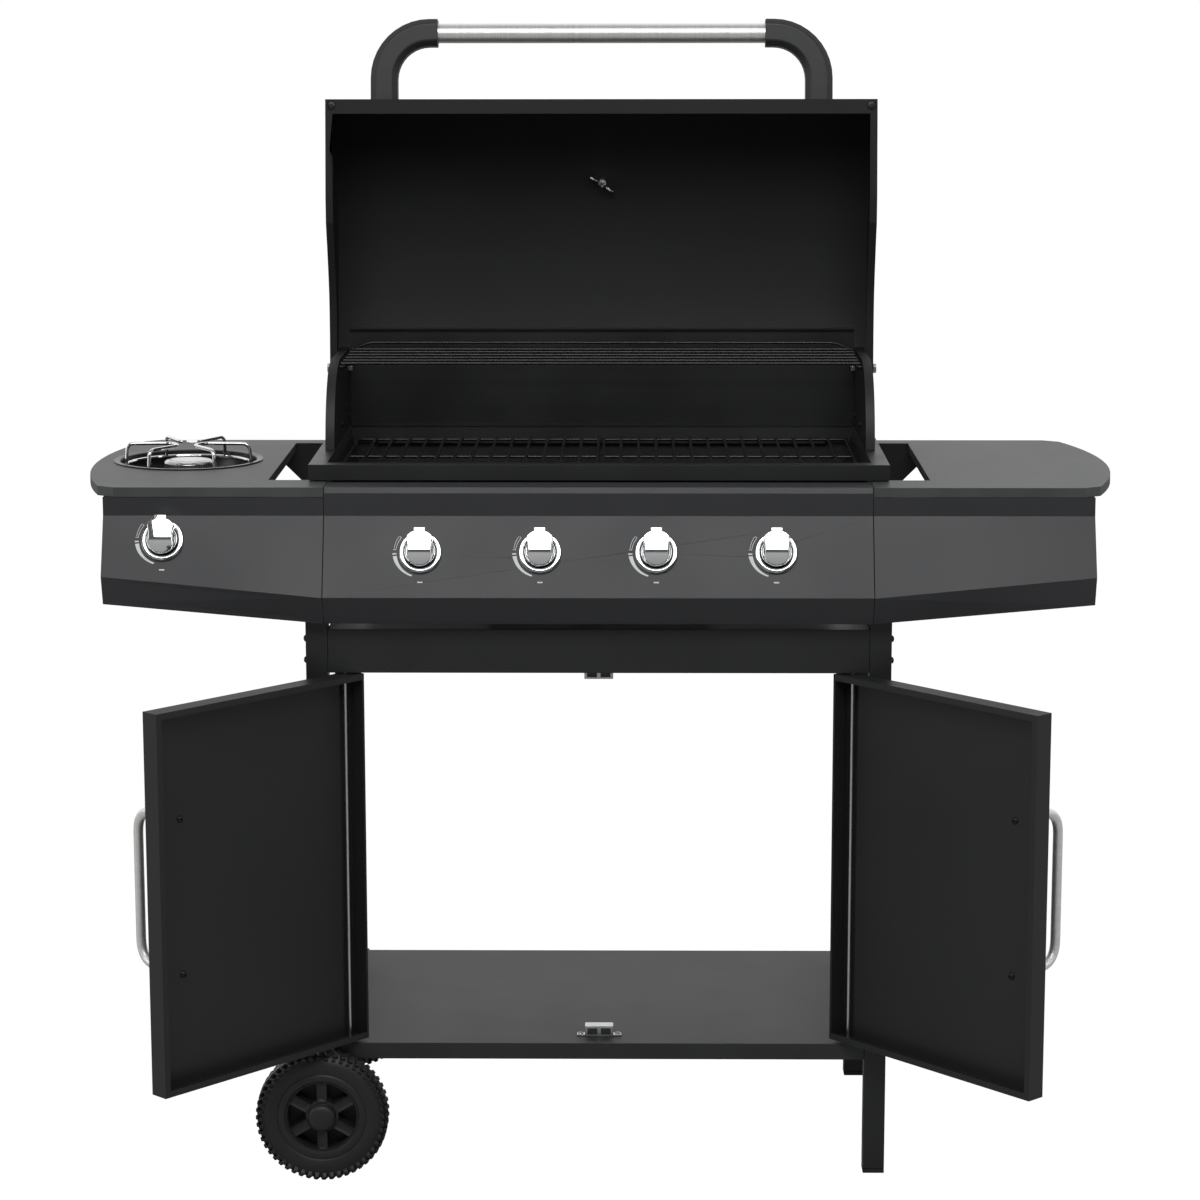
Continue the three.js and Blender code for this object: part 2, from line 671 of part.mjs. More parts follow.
// Outline of a hood end: a curved front edge from the rim up to the hinge height.
const HOOD_END_BACK = RIM_BACK - 4;
function hoodEndOutline() {
  const z0 = RIM_TOP + GAP;
  const curve = smooth(
    [
      [END_FRONT, z0],
      [END_FRONT + 4, z0 + 26],
      [END_FRONT + 20, z0 + 62],
      [END_FRONT + 50, z0 + 92],
      [END_FRONT + 92, END_TOP],
    ],
    10,
  );
  return [...curve, [HOOD_END_BACK, END_TOP], [HOOD_END_BACK, z0]].reverse();
}

const RACK_PEG_Y = [RACK_FRONT + 30, RACK_BACK - 40];
const END_INNER = END_OUTER - END_THICK;
for (const [name, side] of SIDES) {
  const [x0, x1] = side > 0 ? [END_INNER, END_OUTER] : [-END_OUTER, -END_INNER];
  let end = alongX(hoodEndOutline(), x0, x1);
  end = end.subtract(rod([x0 - 1, HINGE_Y, HINGE_Z], [x1 + 1, HINGE_Y, HINGE_Z], HINGE_RADIUS + GAP, 12));
  for (const y of RACK_PEG_Y) {
    const z = RACK_Z - 8;
    end = end.subtract(rod([x0 - 1, y, z], [x1 + 1, y, z], 3, 8));
  }
  piece("hood_end_" + name, end, ENAMEL);
  // Shoulder bolt with its head outside the lid and its nut inside the hood end.
  const out = LID_HALF + 1;
  const onHinge = (x) => [side * x, HINGE_Y, HINGE_Z];
  const bolt = rod(onHinge(END_INNER - 6), onHinge(out + 0.5), HINGE_RADIUS, 12)
    .add(rod(onHinge(out), onHinge(out + 4), 6.5, 6))
    .add(rod(onHinge(END_INNER - 6), onHinge(END_INNER - 1), 6, 6));
  piece("lid_hinge_bolt_" + name, bolt, ZINC);
}

function backPanel() {
  const x = END_INNER - GAP;
  const z0 = RIM_TOP + GAP;
  const y = HOOD_END_BACK - SHEET;
  const plate = box(-x, x, y, y + SHEET, z0, BACK_PANEL_TOP);
  const foot = box(-x, x, y - 11, y + 0.5, z0, z0 + SHEET);
  const hem = box(-x, x, y - 6, y + 0.5, BACK_PANEL_TOP - SHEET, BACK_PANEL_TOP);
  const flanges = [-1, 1].map((side) => sideBox(side, x - SHEET, x, y - 11, y + 0.5, z0, END_TOP - 8));
  return plate.add(foot).add(hem).add(union(flanges));
}
piece("back_panel", backPanel(), ENAMEL);

// ---- burners, heat tents, gas train ----------------------------------------------------
BURNER_X.forEach((x, i) => {
  const end = tubLevel(BURNER_Z, SHEET + 3).y1;
  const tube = rod([x, MANIFOLD_Y + 18, BURNER_Z], [x, end, BURNER_Z], BURNER_RADIUS, 16);
  const throat = rod([x, MANIFOLD_Y + 17, BURNER_Z], [x, MANIFOLD_Y + 50, BURNER_Z], BURNER_RADIUS - 3, 16);
  piece("burner_tube_" + (i + 1), tube.subtract(throat), STEEL);
  const [edge, apex] = [BURNER_Z + 28, BURNER_Z + 58];
  const outline = folded(
    [
      [x + 56, edge],
      [x + 12, apex],
      [x - 12, apex],
      [x - 56, edge],
    ],
    SHEET,
  );
  const level = tubLevel(edge, SHEET + 2);
  piece("heat_tent_" + (i + 1), alongY(outline, level.y0, level.y1), ENAMEL);
});

const stemDirection = [-Math.cos(TILT), Math.sin(TILT)]; // [y, z], out of the panel
function onStem(x, z, out) {
  return [x, facetY(z) + stemDirection[0] * out, z + stemDirection[1] * out];
}

// Gas pipe with a valve body behind each knob and a riser to the side burner's valve.
function gasManifold() {
  const x0 = SIDE_BURNER_X - 16;
  const x1 = BURNER_X[BURNER_X.length - 1] + 30;
  const inside = (MANIFOLD_Y - facetY(KNOB_Z)) / Math.cos(TILT);
  const z = onStem(0, KNOB_Z, -inside)[2];
  let made = rod([x0, MANIFOLD_Y, z], [x1, MANIFOLD_Y, z], MANIFOLD_RADIUS, 10);
  for (const [x, knobZ] of [...BURNER_X.map((x) => [x, KNOB_Z]), [SIDE_BURNER_X, SIDE_KNOB_Z]]) {
    const front = onStem(x, knobZ, -STEM_LENGTH + 6);
    const back = onStem(x, knobZ, -inside);
    made = made.add(rod(front, back, 9, 10)).add(rod([x, MANIFOLD_Y, z], back, 6, 8));
    const bore = rod(onStem(x, knobZ, 0), onStem(x, knobZ, -STEM_LENGTH - 2), STEM_RADIUS + 0.5, 10);
    made = made.subtract(bore);
  }
  return made;
}
// Elbow at the pipe's right end with the hose connection pointing down.
function gasInlet() {
  const inside = (MANIFOLD_Y - facetY(KNOB_Z)) / Math.cos(TILT);
  const x = BURNER_X[BURNER_X.length - 1] + 28;
  const [y, z] = [MANIFOLD_Y, onStem(0, KNOB_Z, -inside)[2]];
  return rod([x, y, z], [x + 16, y, z], 11, 6)
    .add(rod([x + 8, y, z], [x + 26, y, z], 7, 12))
    .add(rod([x + 20, y, z + 7], [x + 20, y, z - 26], 7, 12));
}
piece("gas_manifold", gasManifold().add(gasInlet()), BRASS);

// A knob about its own axis: skirt, raised grip with a pointer tab, and the stem that it turns.
function knob() {
  const skirt = turned(
    [
      [0, 0],
      [KNOB_RADIUS, 0],
      [KNOB_RADIUS, 4],
      [KNOB_RADIUS - 4, 9],
      [0, 9],
    ],
    0,
    0,
    24,
  );
  const grip = alongZ(
    [
      [-10, -18],
      [10, -18],
      [15, -12],
      [14.5, -2],
      [17, 13],
      [8, 21],
      [7.5, 26],
      [-7.5, 26],
      [-8, 21],
      [-17, 13],
      [-14.5, -2],
      [-15, -12],
    ],
    5,
    24,
  );
  const stem = rod([0, 0, 1], [0, 0, -KNOB_GAP - STEM_LENGTH], STEM_RADIUS, 12);
  return skirt.add(grip).add(stem);
}

const KNOBS = [...BURNER_X.map((x, i) => ["knob_" + (i + 1), x, KNOB_Z])];
KNOBS.push(["side_burner_knob", SIDE_BURNER_X, SIDE_KNOB_Z]);
for (const [name, x, z] of KNOBS) {
  const mesh = piece(name, knob(), CHROME);
  mesh.position.set(...onStem(x, z, KNOB_GAP));
  mesh.rotation.x = Math.PI / 2 - TILT;
}

// ---- cooking grates and warming rack -----------------------------------------------------
// Wires run front to back on top of three cross rods.
function cookingGrate(side) {
  const level = tubLevel(GRATE_Z - 2 * GRATE_WIRE, SHEET + GRATE_PLAY);
  const [x0, x1] = [1.5, level.x1 - 3];
  const [y0, y1] = [level.y0, level.y1];
  const r = GRATE_WIRE / 2;
  const zTop = GRATE_Z - r;
  const zLow = zTop - GRATE_WIRE * 0.8;
  const parts = [];
  for (const y of [y0 + r + 4, (y0 + y1) / 2 - 4, y1 - r - 4]) {
    parts.push(sideBox(side, x0, x1, y - r, y + r, zLow - r, zLow + r));
  }
  const count = Math.floor((x1 - x0 - GRATE_WIRE) / GRATE_PITCH);
  const pitch = (x1 - x0 - GRATE_WIRE) / count;
  for (let i = 0; i <= count; i++) {
    const x = x0 + r + i * pitch;
    parts.push(sideBox(side, x - r, x + r, y0, y1, zTop - r, zTop + r));
  }
  return union(parts);
}
for (const [name, side] of SIDES) {
  piece("cooking_grate_" + name, cookingGrate(side), ENAMEL);
}

function warmingRack() {
  const half = END_INNER - 5;
  const r = 2;
  const parts = [];
  for (let i = 0; i < RACK_WIRES; i++) {
    const y = RACK_FRONT + (i / (RACK_WIRES - 1)) * (RACK_BACK - RACK_FRONT);
    parts.push(box(-half, half, y - r, y + r, RACK_Z - r, RACK_Z + r));
  }
  for (const side of [-1, 1]) {
    const x = side * (half - 3);
    parts.push(box(x - r, x + r, RACK_FRONT - 3, RACK_BACK + 3, RACK_Z - r - 3, RACK_Z + r - 3));
    for (const y of RACK_PEG_Y) {
      const z = RACK_Z - 8;
      parts.push(box(x - r, x + r, y - r, y + r, z - r, RACK_Z - r));
      parts.push(sideBox(side, half - 3, END_OUTER - 2, y - r, y + r, z - r, z + r));
    }
  }
  const rail = RACK_Z + 9;
  const y = RACK_BACK;
  parts.push(
    wire(
      [
        [-half + 2, y, RACK_Z],
        [-half + 22, y, rail],
        [half - 22, y, rail],
        [half - 2, y, RACK_Z],
      ],
      r,
      6,
      4,
    ),
  );
  return union(parts);
}
piece("warming_rack", warmingRack(), CHROME);

// ---- side burner --------------------------------------------------------------------------
function sideBurnerBowl() {
  const r = SIDE_BURNER_RADIUS;
  const z = TABLE_TOP + GAP;
  return turned(
    [
      [22, z - 34],
      [r - 10, z - 34],
      [r - 1.5, z - 22],
      [r - 1.5, z],
      [r + 5, z],
      [r + 5, z + 1.4],
      [r - 3, z + 1.4],
      [r - 3, z - 21],
      [r - 11, z - 32.5],
      [22, z - 32.5],
      [22, z - 34],
    ],
    SIDE_BURNER_X,
    SIDE_BURNER_Y,
    32,
  );
}
piece("side_burner_bowl", sideBurnerBowl(), BLACK);

function sideBurnerHead() {
  const z = TABLE_TOP;
  return turned(
    [
      [0, z - 60],
      [12, z - 60],
      [12, z - 36],
      [20, z - 30],
      [20, z - 18],
      [31, z - 13],
      [31, z - 5],
      [29, z - 4],
      [31.5, z - 3],
      [30, z],
      [0, z + 1],
    ],
    SIDE_BURNER_X,
    SIDE_BURNER_Y,
    24,
  );
}
piece("side_burner_head", sideBurnerHead(), STEEL);

// Three bent wires, each with two arms, on a ring that sits inside the bowl.
function potSupport() {
  const r = SIDE_BURNER_RADIUS - 10;
  const ringZ = TABLE_TOP - 5;
  const top = TABLE_TOP + 22;
  const w = 2.3;
  const ring = turned(
    [
      [r - w, ringZ - w],
      [r + w, ringZ - w],
      [r + w, ringZ + w],
      [r - w, ringZ + w],
      [r - w, ringZ - w],
    ],
    SIDE_BURNER_X,
    SIDE_BURNER_Y,
    20,
  );
  const parts = [ring];
  const at = (angle, radius, z) => [
    SIDE_BURNER_X + radius * Math.cos(angle),
    SIDE_BURNER_Y + radius * Math.sin(angle),
    z,
  ];
  for (let i = 0; i < 3; i++) {
    const middle = (i * 2 * Math.PI) / 3 + Math.PI / 2;
    const spread = 0.5;
    parts.push(
      wire(
        [
          at(middle - spread, r, ringZ),
          at(middle - spread, r - 2, top),
          at(middle - spread * 1.2, 22, top),
          at(middle + spread * 1.2, 22, top),
          at(middle + spread, r - 2, top),
          at(middle + spread, r, ringZ),
        ],
        w,
        7,
        4,
      ),
    );
  }
  return union(parts);
}
piece("side_burner_pot_support", potSupport(), CHROME);

// ---- drip tray and grease cup ---------------------------------------------------------------
function dripTray() {
  const x = TRAY_HALF;
  const [y0, y1] = [TRAY_FRONT, TRAY_BACK];
  const z0 = TRAY_TOP - TRAY_DEPTH;
  const pan = box(-x, x, y0, y1, z0, TRAY_TOP);
  const inside = box(-x + SHEET, x - SHEET, y0 + SHEET, y1 - SHEET, z0 + SHEET, TRAY_TOP + 1);
  const drain = rod([CUP_X, CUP_Y, z0 - 2], [CUP_X, CUP_Y, z0 + 4], 9, 16);
  return pan.subtract(inside).subtract(drain);
}
piece("drip_tray", dripTray(), STEEL);

// The cup hangs under the drain on a wire loop that lies front to back.
function greaseCup() {
  const [z1, z0] = [CUP_TOP, CUP_TOP - CUP_HEIGHT];
  const r = CUP_RADIUS;
  const cup = turned(
    [
      [0, z0],
      [r - 5, z0],
      [r, z1 - 2],
      [r + 3, z1 - 2],
      [r + 3, z1],
      [r - 1, z1],
      [r - 6, z0 + 1.5],
      [0, z0 + 1.5],
    ],
    CUP_X,
    CUP_Y,
    24,
  );
  const top = TRAY_TOP - TRAY_DEPTH - GAP - 1.6;
  const hanger = wire(
    [
      [CUP_X, CUP_Y - r - 2, z1 - 1],
      [CUP_X, CUP_Y - r - 2, top],
      [CUP_X, CUP_Y + r + 2, top],
      [CUP_X, CUP_Y + r + 2, z1 - 1],
    ],
    1.5,
  );
  return cup.add(hanger);
}
piece("grease_cup", greaseCup(), STEEL);

// ---- lid, built closed about its hinge and then turned open -----------------------------------
const lid = new THREE.Group();
lid.position.set(0, HINGE_Y, HINGE_Z);
lid.rotation.x = -THREE.MathUtils.degToRad(LID_OPEN);
grill.add(lid);

const LID_BOTTOM = RIM_TOP + LID_GAP;
const fromHinge = ([y, z]) => [y - HINGE_Y, z - HINGE_Z];

// Skin from the front lip over the top to the rear edge.
const SKIN = smooth(
  [
    [LID_FRONT, LID_BOTTOM],
    [LID_FRONT, LID_BOTTOM + 24],
    [LID_FRONT + 13, LID_BOTTOM + 70],
    [LID_FRONT + 45, LID_BOTTOM + 116],
    [LID_FRONT + 95, LID_BOTTOM + 151],
    [LID_FRONT + 160, LID_BOTTOM + 171],
    [LID_FRONT + 235, LID_BOTTOM + 177],
    [HINGE_Y - 50, LID_BOTTOM + 173],
    [HINGE_Y + 8, LID_BOTTOM + 158],
    [HINGE_Y + 33, BACK_PANEL_TOP + 9],
  ],
  39,
).map(fromHinge);

// Lower edge of the lid's ends: flat on the firebox rim, then rising past the hinge.
const EDGE = [
  [END_FRONT - 4, LID_BOTTOM],
  ...smooth(
    [
      [END_FRONT + 30, LID_BOTTOM + 5],
      [END_FRONT + 75, LID_BOTTOM + 30],
      [END_FRONT + 125, LID_BOTTOM + 51],
      [HINGE_Y - 40, LID_BOTTOM + 59],
    ],
    8,
  ),
  [HINGE_Y + 14, HINGE_Z - 17],
  [HINGE_Y + 33, HINGE_Z + 3],
].map(fromHinge);

function lidShell() {
  const outline = [...SKIN, ...EDGE.slice().reverse()];
  const outer = alongX(outline.slice().reverse(), -LID_HALF, LID_HALF);
  const skinInside = folded(SKIN, -SHEET).slice(SKIN.length).reverse();
  const below = 60;
  const front = skinInside[0];
  const back = skinInside[skinInside.length - 1];
  const open = [
    [back[0] + 30, back[1] - 40],
    [back[0] + 30, front[1] - below],
    [front[0], front[1] - below],
  ];
  const hollow = alongX(
    [...skinInside, ...open].reverse(),
    -LID_HALF + SHEET,
    LID_HALF - SHEET,
  );
  let made = outer.subtract(hollow);
  // Flange turned in along the lower edge of each end.
  const start = SKIN[0];
  const flange = folded([[start[0] + 0.5, start[1]], ...EDGE], SHEET);
  for (const side of [-1, 1]) {
    const [x0, x1] = [LID_HALF - SIDE_FLANGE, LID_HALF - 0.5];
    made = made.add(side > 0 ? alongX(flange, x0, x1) : alongX(flange, -x1, -x0));
  }
  // Lip turned in along the front edge.
  const x = LID_HALF - 0.5;
  made = made.add(box(-x, x, start[0] + 0.5, start[0] + LIP_DEPTH, start[1], start[1] + SHEET));
  const hole = HINGE_RADIUS + GAP;
  made = made.subtract(rod([-LID_HALF - 2, 0, 0], [LID_HALF + 2, 0, 0], hole, 12));
  const [y, z] = THERMOMETER;
  const [ny, nz] = THERMOMETER_OUT;
  return made.subtract(rod([0, y - 9 * ny, z - 9 * nz], [0, y + 9 * ny, z + 9 * nz], 5, 16));
}

// Where the thermometer sits on the skin, and the direction out of it.
const skinIndex = 15;
const THERMOMETER = SKIN[skinIndex];
const THERMOMETER_OUT = normal(SKIN[skinIndex - 1], SKIN[skinIndex + 1]);
piece("lid_shell", lidShell(), BLACK, lid);

function alongThermometer(distance) {
  const [y, z] = THERMOMETER;
  const [ny, nz] = THERMOMETER_OUT;
  return [0, y + ny * distance, z + nz * distance];
}
const dial = rod(alongThermometer(2), alongThermometer(14), DIAL_RADIUS, 32)
  .add(rod(alongThermometer(0.6), alongThermometer(3), 14, 16))
  .add(rod(alongThermometer(-22), alongThermometer(3), 3, 10));
piece("thermometer", dial, STEEL, lid);

function wingNut() {
  const bore = rod(alongThermometer(-1), alongThermometer(-14), 3.4, 12);
  const hub = rod(alongThermometer(-2.2), alongThermometer(-10), 7, 12);
  const c = alongThermometer(-8);
  const wing = rod([-WING_HALF, c[1], c[2]], [WING_HALF, c[1], c[2]], 3.2, 8);
  return hub.add(wing).subtract(bore);
}
piece("thermometer_wing_nut", wingNut(), ZINC, lid);

// The handle stands in front of the lid on two quarter-bend elbows.
const handleY = HANDLE_Y - HINGE_Y;
const handleZ = HANDLE_Z - HINGE_Z;
const tubeHalf = ELBOW_X - ELBOW_BEND - 11;
function handleTube() {
  const long = tubeHalf + 8;
  return rod([-long, handleY, handleZ], [long, handleY, handleZ], HANDLE_RADIUS, 24);
}
piece("handle_tube", handleTube(), STEEL, lid);

function skinAt(z) {
  const i = SKIN.findIndex((p) => p[1] > z);
  const [a, b] = [SKIN[i - 1], SKIN[i]];
  return a[0] + ((z - a[1]) / (b[1] - a[1])) * (b[0] - a[0]);
}

// A quarter bend of oblong section from the lid's skin round to the tube.
function elbow(side) {
  const base = Math.min(skinAt(handleZ - ELBOW_TALL / 2), skinAt(handleZ)) - GAP;
  const x = side * ELBOW_X;
  const turn = handleY + ELBOW_BEND;
  const route = [[x, base, handleZ]];
  const steps = 10;
  for (let i = 0; i <= steps; i++) {
    const a = (i / steps) * (Math.PI / 2);
    const inward = ELBOW_BEND * (1 - Math.cos(a));
    route.push([x - side * inward, turn - ELBOW_BEND * Math.sin(a), handleZ]);
  }
  route.push([side * tubeHalf, handleY, handleZ]);
  const [w, h, c] = [ELBOW_WIDE / 2, ELBOW_TALL / 2, ELBOW_CHAMFER];
  const section = [
    [w, c - h],
    [w, h - c],
    [w - c, h],
    [c - w, h],
    [-w, h - c],
    [-w, c - h],
    [c - w, -h],
    [w - c, -h],
  ];
  const bore = rod(
    [side * (tubeHalf - 5), handleY, handleZ],
    [side * (tubeHalf + 8 + GAP), handleY, handleZ],
    HANDLE_RADIUS + GAP,
    24,
  );
  return swept(section, route, [0, 0, 1]).subtract(bore);
}

for (const [name, side] of SIDES) {
  piece("handle_elbow_" + name, elbow(side), PLASTIC, lid);
}

// ---- doors, built closed about their pins and then turned open ----------------------------------
const DOOR_LONG = PIN_X - DOOR_MEET;
const DOOR_FRONT = -PIN_Y; // the closed doors are flush with the legs
function doorPan(side) {
  const [a, b] = [-DOOR_HINGE_SIDE, DOOR_LONG];
  const [front, back] = [DOOR_FRONT, DOOR_FRONT + DOOR_DEPTH];
  const flip = -side;
  const span = (x0, x1, y0, y1, z0, z1) => sideBox(flip, x0, x1, y0, y1, z0, z1);
  const t = SHEET;
  let made = span(a, b, front, back, DOOR_BOTTOM, DOOR_TOP);
  made = made.subtract(span(a + t, b - t, front + t, back - t, DOOR_BOTTOM + t, DOOR_TOP - t));
  const lip = DOOR_LIP;
  made = made.subtract(span(a + 3, b - lip, front + 2 * t, back + 1, DOOR_BOTTOM + lip, DOOR_TOP - lip));
  const pin = rod([0, 0, DOOR_BOTTOM - 5], [0, 0, DOOR_TOP + 5], PIN_RADIUS + PIN_PLAY, 12);
  made = made.subtract(pin);
  const x = flip * (DOOR_LONG - DOOR_HANDLE_INSET);
  const middle = (DOOR_BOTTOM + DOOR_TOP) / 2;
  for (const z of [middle - DOOR_HANDLE_SPAN / 2, middle + DOOR_HANDLE_SPAN / 2]) {
    made = made.subtract(rod([x, front - 5, z], [x, front + 5, z], 3, 12));
  }
  return made;
}

// Bow handle: two legs and a bar, with a threaded end through the door at each leg.
function doorHandle(side) {
  const x = -side * (DOOR_LONG - DOOR_HANDLE_INSET);
  const face = DOOR_FRONT - GAP;
  const middle = (DOOR_BOTTOM + DOOR_TOP) / 2;
  const [z0, z1] = [middle - DOOR_HANDLE_SPAN / 2, middle + DOOR_HANDLE_SPAN / 2];
  const bow = wire(
    [
      [x, face, z0],
      [x, face - DOOR_HANDLE_REACH, z0],
      [x, face - DOOR_HANDLE_REACH, z1],
      [x, face, z1],
    ],
    DOOR_HANDLE_RADIUS,
    24,
    10,
  );
  const bolt = (z) => rod([x, face - 1, z], [x, face + SHEET + 5, z], 2.5, 8);
  return bow.add(bolt(z0)).add(bolt(z1));
}

for (const [name, side] of SIDES) {
  const door = new THREE.Group();
  door.position.set(side * PIN_X, PIN_Y, 0);
  door.rotation.z = side * THREE.MathUtils.degToRad(DOOR_OPEN);
  grill.add(door);
  piece("door_" + name, doorPan(side), PANEL, door);
  piece("door_handle_" + name, doorHandle(side), STEEL, door);
  const x = side * PIN_X;
  const top = RAIL_TOP - RAIL_HEIGHT + 8;
  piece(
    "door_hinge_rod_" + name,
    rod([x, PIN_Y, SHELF_TOP - 8], [x, PIN_Y, top], PIN_RADIUS, 12),
    ZINC,
  );
}

// Magnet catches for the doors, one under the rail and one on the shelf.
const CATCH_FRONT = DOOR_DEPTH + CATCH_GAP;
function magnetCatch(z0, z1) {
  const body = box(-18, 18, CATCH_FRONT, CATCH_FRONT + 16, z0, z1);
  const middle = (z0 + z1) / 2 > DOOR_TOP - 50 ? z1 : z0;
  const ear = middle === z1 ? [z1 - 1.5, z1] : [z0, z0 + 1.5];
  return body.add(box(-28, 28, CATCH_FRONT + 2, CATCH_FRONT + 12, ...ear));
}
const railBottom = RAIL_TOP - RAIL_HEIGHT;
piece("upper_magnet_catch", magnetCatch(railBottom - 13, railBottom - GAP), ZINC);
piece("lower_magnet_catch", magnetCatch(SHELF_TOP + GAP, SHELF_TOP + 14), ZINC);

// The frame's origin is the middle of the whole object's footprint, on the floor.
const bounds = new THREE.Box3().setFromObject(grill, true);
const middle = bounds.getCenter(new THREE.Vector3());
grill.position.set(-middle.x, -middle.y, -bounds.min.z);

export default grill;
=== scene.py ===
import json
import math

import bpy
from mathutils import Matrix, Vector


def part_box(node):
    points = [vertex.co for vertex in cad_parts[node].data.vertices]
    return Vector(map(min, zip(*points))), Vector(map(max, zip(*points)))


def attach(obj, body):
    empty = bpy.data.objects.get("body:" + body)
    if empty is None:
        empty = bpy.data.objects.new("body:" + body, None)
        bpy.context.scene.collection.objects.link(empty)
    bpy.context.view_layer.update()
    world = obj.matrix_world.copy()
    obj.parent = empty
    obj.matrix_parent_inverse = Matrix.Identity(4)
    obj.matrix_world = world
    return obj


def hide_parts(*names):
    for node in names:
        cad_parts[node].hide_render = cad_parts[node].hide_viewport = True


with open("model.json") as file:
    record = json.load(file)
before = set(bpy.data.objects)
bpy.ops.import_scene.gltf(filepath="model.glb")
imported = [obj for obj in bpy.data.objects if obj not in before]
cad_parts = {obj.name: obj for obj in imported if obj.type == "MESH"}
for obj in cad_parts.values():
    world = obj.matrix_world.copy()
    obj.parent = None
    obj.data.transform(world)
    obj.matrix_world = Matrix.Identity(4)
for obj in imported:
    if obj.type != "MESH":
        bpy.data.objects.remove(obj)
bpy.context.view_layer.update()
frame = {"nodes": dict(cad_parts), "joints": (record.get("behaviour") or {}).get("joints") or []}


# ---- Legs, side rails and front rail ----------------------------------------------------
# Four square steel tubes stand at the corners, tied by two side rails and a folded front
# rail. All are cut, welded or folded first and then powder coated black, which rounds
# every edge a little and leaves the fine orange-peel skin that baked powder has.
def alone(obj):
    """Selects one object and nothing else."""
    for other in list(bpy.context.selected_objects):
        other.select_set(False)
    obj.select_set(True)
    bpy.context.view_layer.objects.active = obj


def coating(name, colour, roughness, metallic=0.0, grain=700.0, relief=0.0001, mottle=0.1,
            patch=9.0, stretch=(1, 1, 1), uneven=0.08, shine=0.5):
    """A finish with its own fine grain, slow colour change and uneven gloss, in metres."""
    made = bpy.data.materials.new(name)
    made.use_nodes = True
    nodes, links = made.node_tree.nodes, made.node_tree.links
    shader = nodes["Principled BSDF"]
    shader.inputs["Metallic"].default_value = metallic
    shader.inputs["Specular IOR Level"].default_value = shine
    place = nodes.new("ShaderNodeTexCoord")
    lie = nodes.new("ShaderNodeMapping")
    lie.inputs["Scale"].default_value = stretch
    links.new(place.outputs["Object"], lie.inputs["Vector"])
    fine = nodes.new("ShaderNodeTexNoise")
    fine.inputs["Scale"].default_value = grain
    fine.inputs["Detail"].default_value = 3
    links.new(lie.outputs["Vector"], fine.inputs["Vector"])
    bump = nodes.new("ShaderNodeBump")
    bump.inputs["Strength"].default_value = 0.6
    bump.inputs["Distance"].default_value = relief
    links.new(fine.outputs["Fac"], bump.inputs["Height"])
    links.new(bump.outputs["Normal"], shader.inputs["Normal"])
    slow = nodes.new("ShaderNodeTexNoise")
    slow.inputs["Scale"].default_value = patch
    slow.inputs["Detail"].default_value = 5
    links.new(lie.outputs["Vector"], slow.inputs["Vector"])
    tint = nodes.new("ShaderNodeValToRGB")
    tint.color_ramp.elements[0].position = 0.3
    tint.color_ramp.elements[0].color = (*[c * (1 - mottle) for c in colour], 1)
    tint.color_ramp.elements[1].position = 0.7
    tint.color_ramp.elements[1].color = (*[min(1, c * (1 + mottle)) for c in colour], 1)
    links.new(slow.outputs["Fac"], tint.inputs["Fac"])
    links.new(tint.outputs["Color"], shader.inputs["Base Color"])
    gloss = nodes.new("ShaderNodeMapRange")
    gloss.inputs["To Min"].default_value = max(0.02, roughness - uneven)
    gloss.inputs["To Max"].default_value = roughness + uneven
    links.new(slow.outputs["Fac"], gloss.inputs["Value"])
    links.new(gloss.outputs["Result"], shader.inputs["Roughness"])
    return made


def dress(node, finish, edge=0.0005, segments=2, crease=12):
    """Gives a CAD piece its finish and breaks its sharp edges."""
    obj = frame["nodes"][node]
    alone(obj)
    bpy.ops.mesh.customdata_custom_splitnormals_clear()
    obj.data.polygons.foreach_set("use_smooth", [True] * len(obj.data.polygons))
    obj.data.materials.clear()
    obj.data.materials.append(finish)
    weld = obj.modifiers.new("Joined", "WELD")
    weld.merge_threshold = 0.00002
    rounded = obj.modifiers.new("Edges", "BEVEL")
    rounded.width = edge
    rounded.segments = segments
    rounded.limit_method = "ANGLE"
    rounded.angle_limit = math.radians(crease)
    rounded.harden_normals = True
    rounded.miter_outer = "MITER_ARC"
    return obj


frame_black = coating("frame_black_powder", (0.0135, 0.0148, 0.0142), 0.42, relief=0.00009)
for name in ("front_leg_left", "front_leg_right", "rear_leg_left", "rear_leg_right"):
    dress(name, frame_black, 0.0007)
for name in ("side_rail_left", "side_rail_right"):
    dress(name, frame_black, 0.0015, 3)
dress("front_rail", frame_black, 0.0006)


# ---- Screws -----------------------------------------------------------------------------
# The frame and panels are put together with zinc or blackened pan-head screws, each with a
# domed head and a cross recess. Those of the front rail stand a little off the legs.
def modify(obj, kind, **settings):
    """Adds one modifier and applies it."""
    alone(obj)
    added = obj.modifiers.new(kind.title(), kind)
    for key, value in settings.items():
        setattr(added, key, value)
    bpy.ops.object.modifier_apply(modifier=added.name)


def block(centre, size):
    """A plain block to be shaped or cut with."""
    bpy.ops.mesh.primitive_cube_add(size=1, location=centre, scale=size)
    obj = bpy.context.object
    alone(obj)
    bpy.ops.object.transform_apply(location=True, scale=True)
    return obj


def smooth(obj, degrees):
    """Shades a piece smooth, but for the edges that turn by more than the angle."""
    alone(obj)
    bpy.ops.object.shade_smooth_by_angle(angle=math.radians(degrees))
    return obj


def settle(obj, name, body, finish, slot, *stands_for):
    """Names a finished piece, paints it and fixes it to its body."""
    alone(obj)
    bpy.ops.object.transform_apply(location=True, rotation=True, scale=True)
    obj.name = name
    obj.data.materials.clear()
    obj.data.materials.append(finish)
    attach(obj, body)
    if stands_for:
        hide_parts(*stands_for)
    return obj


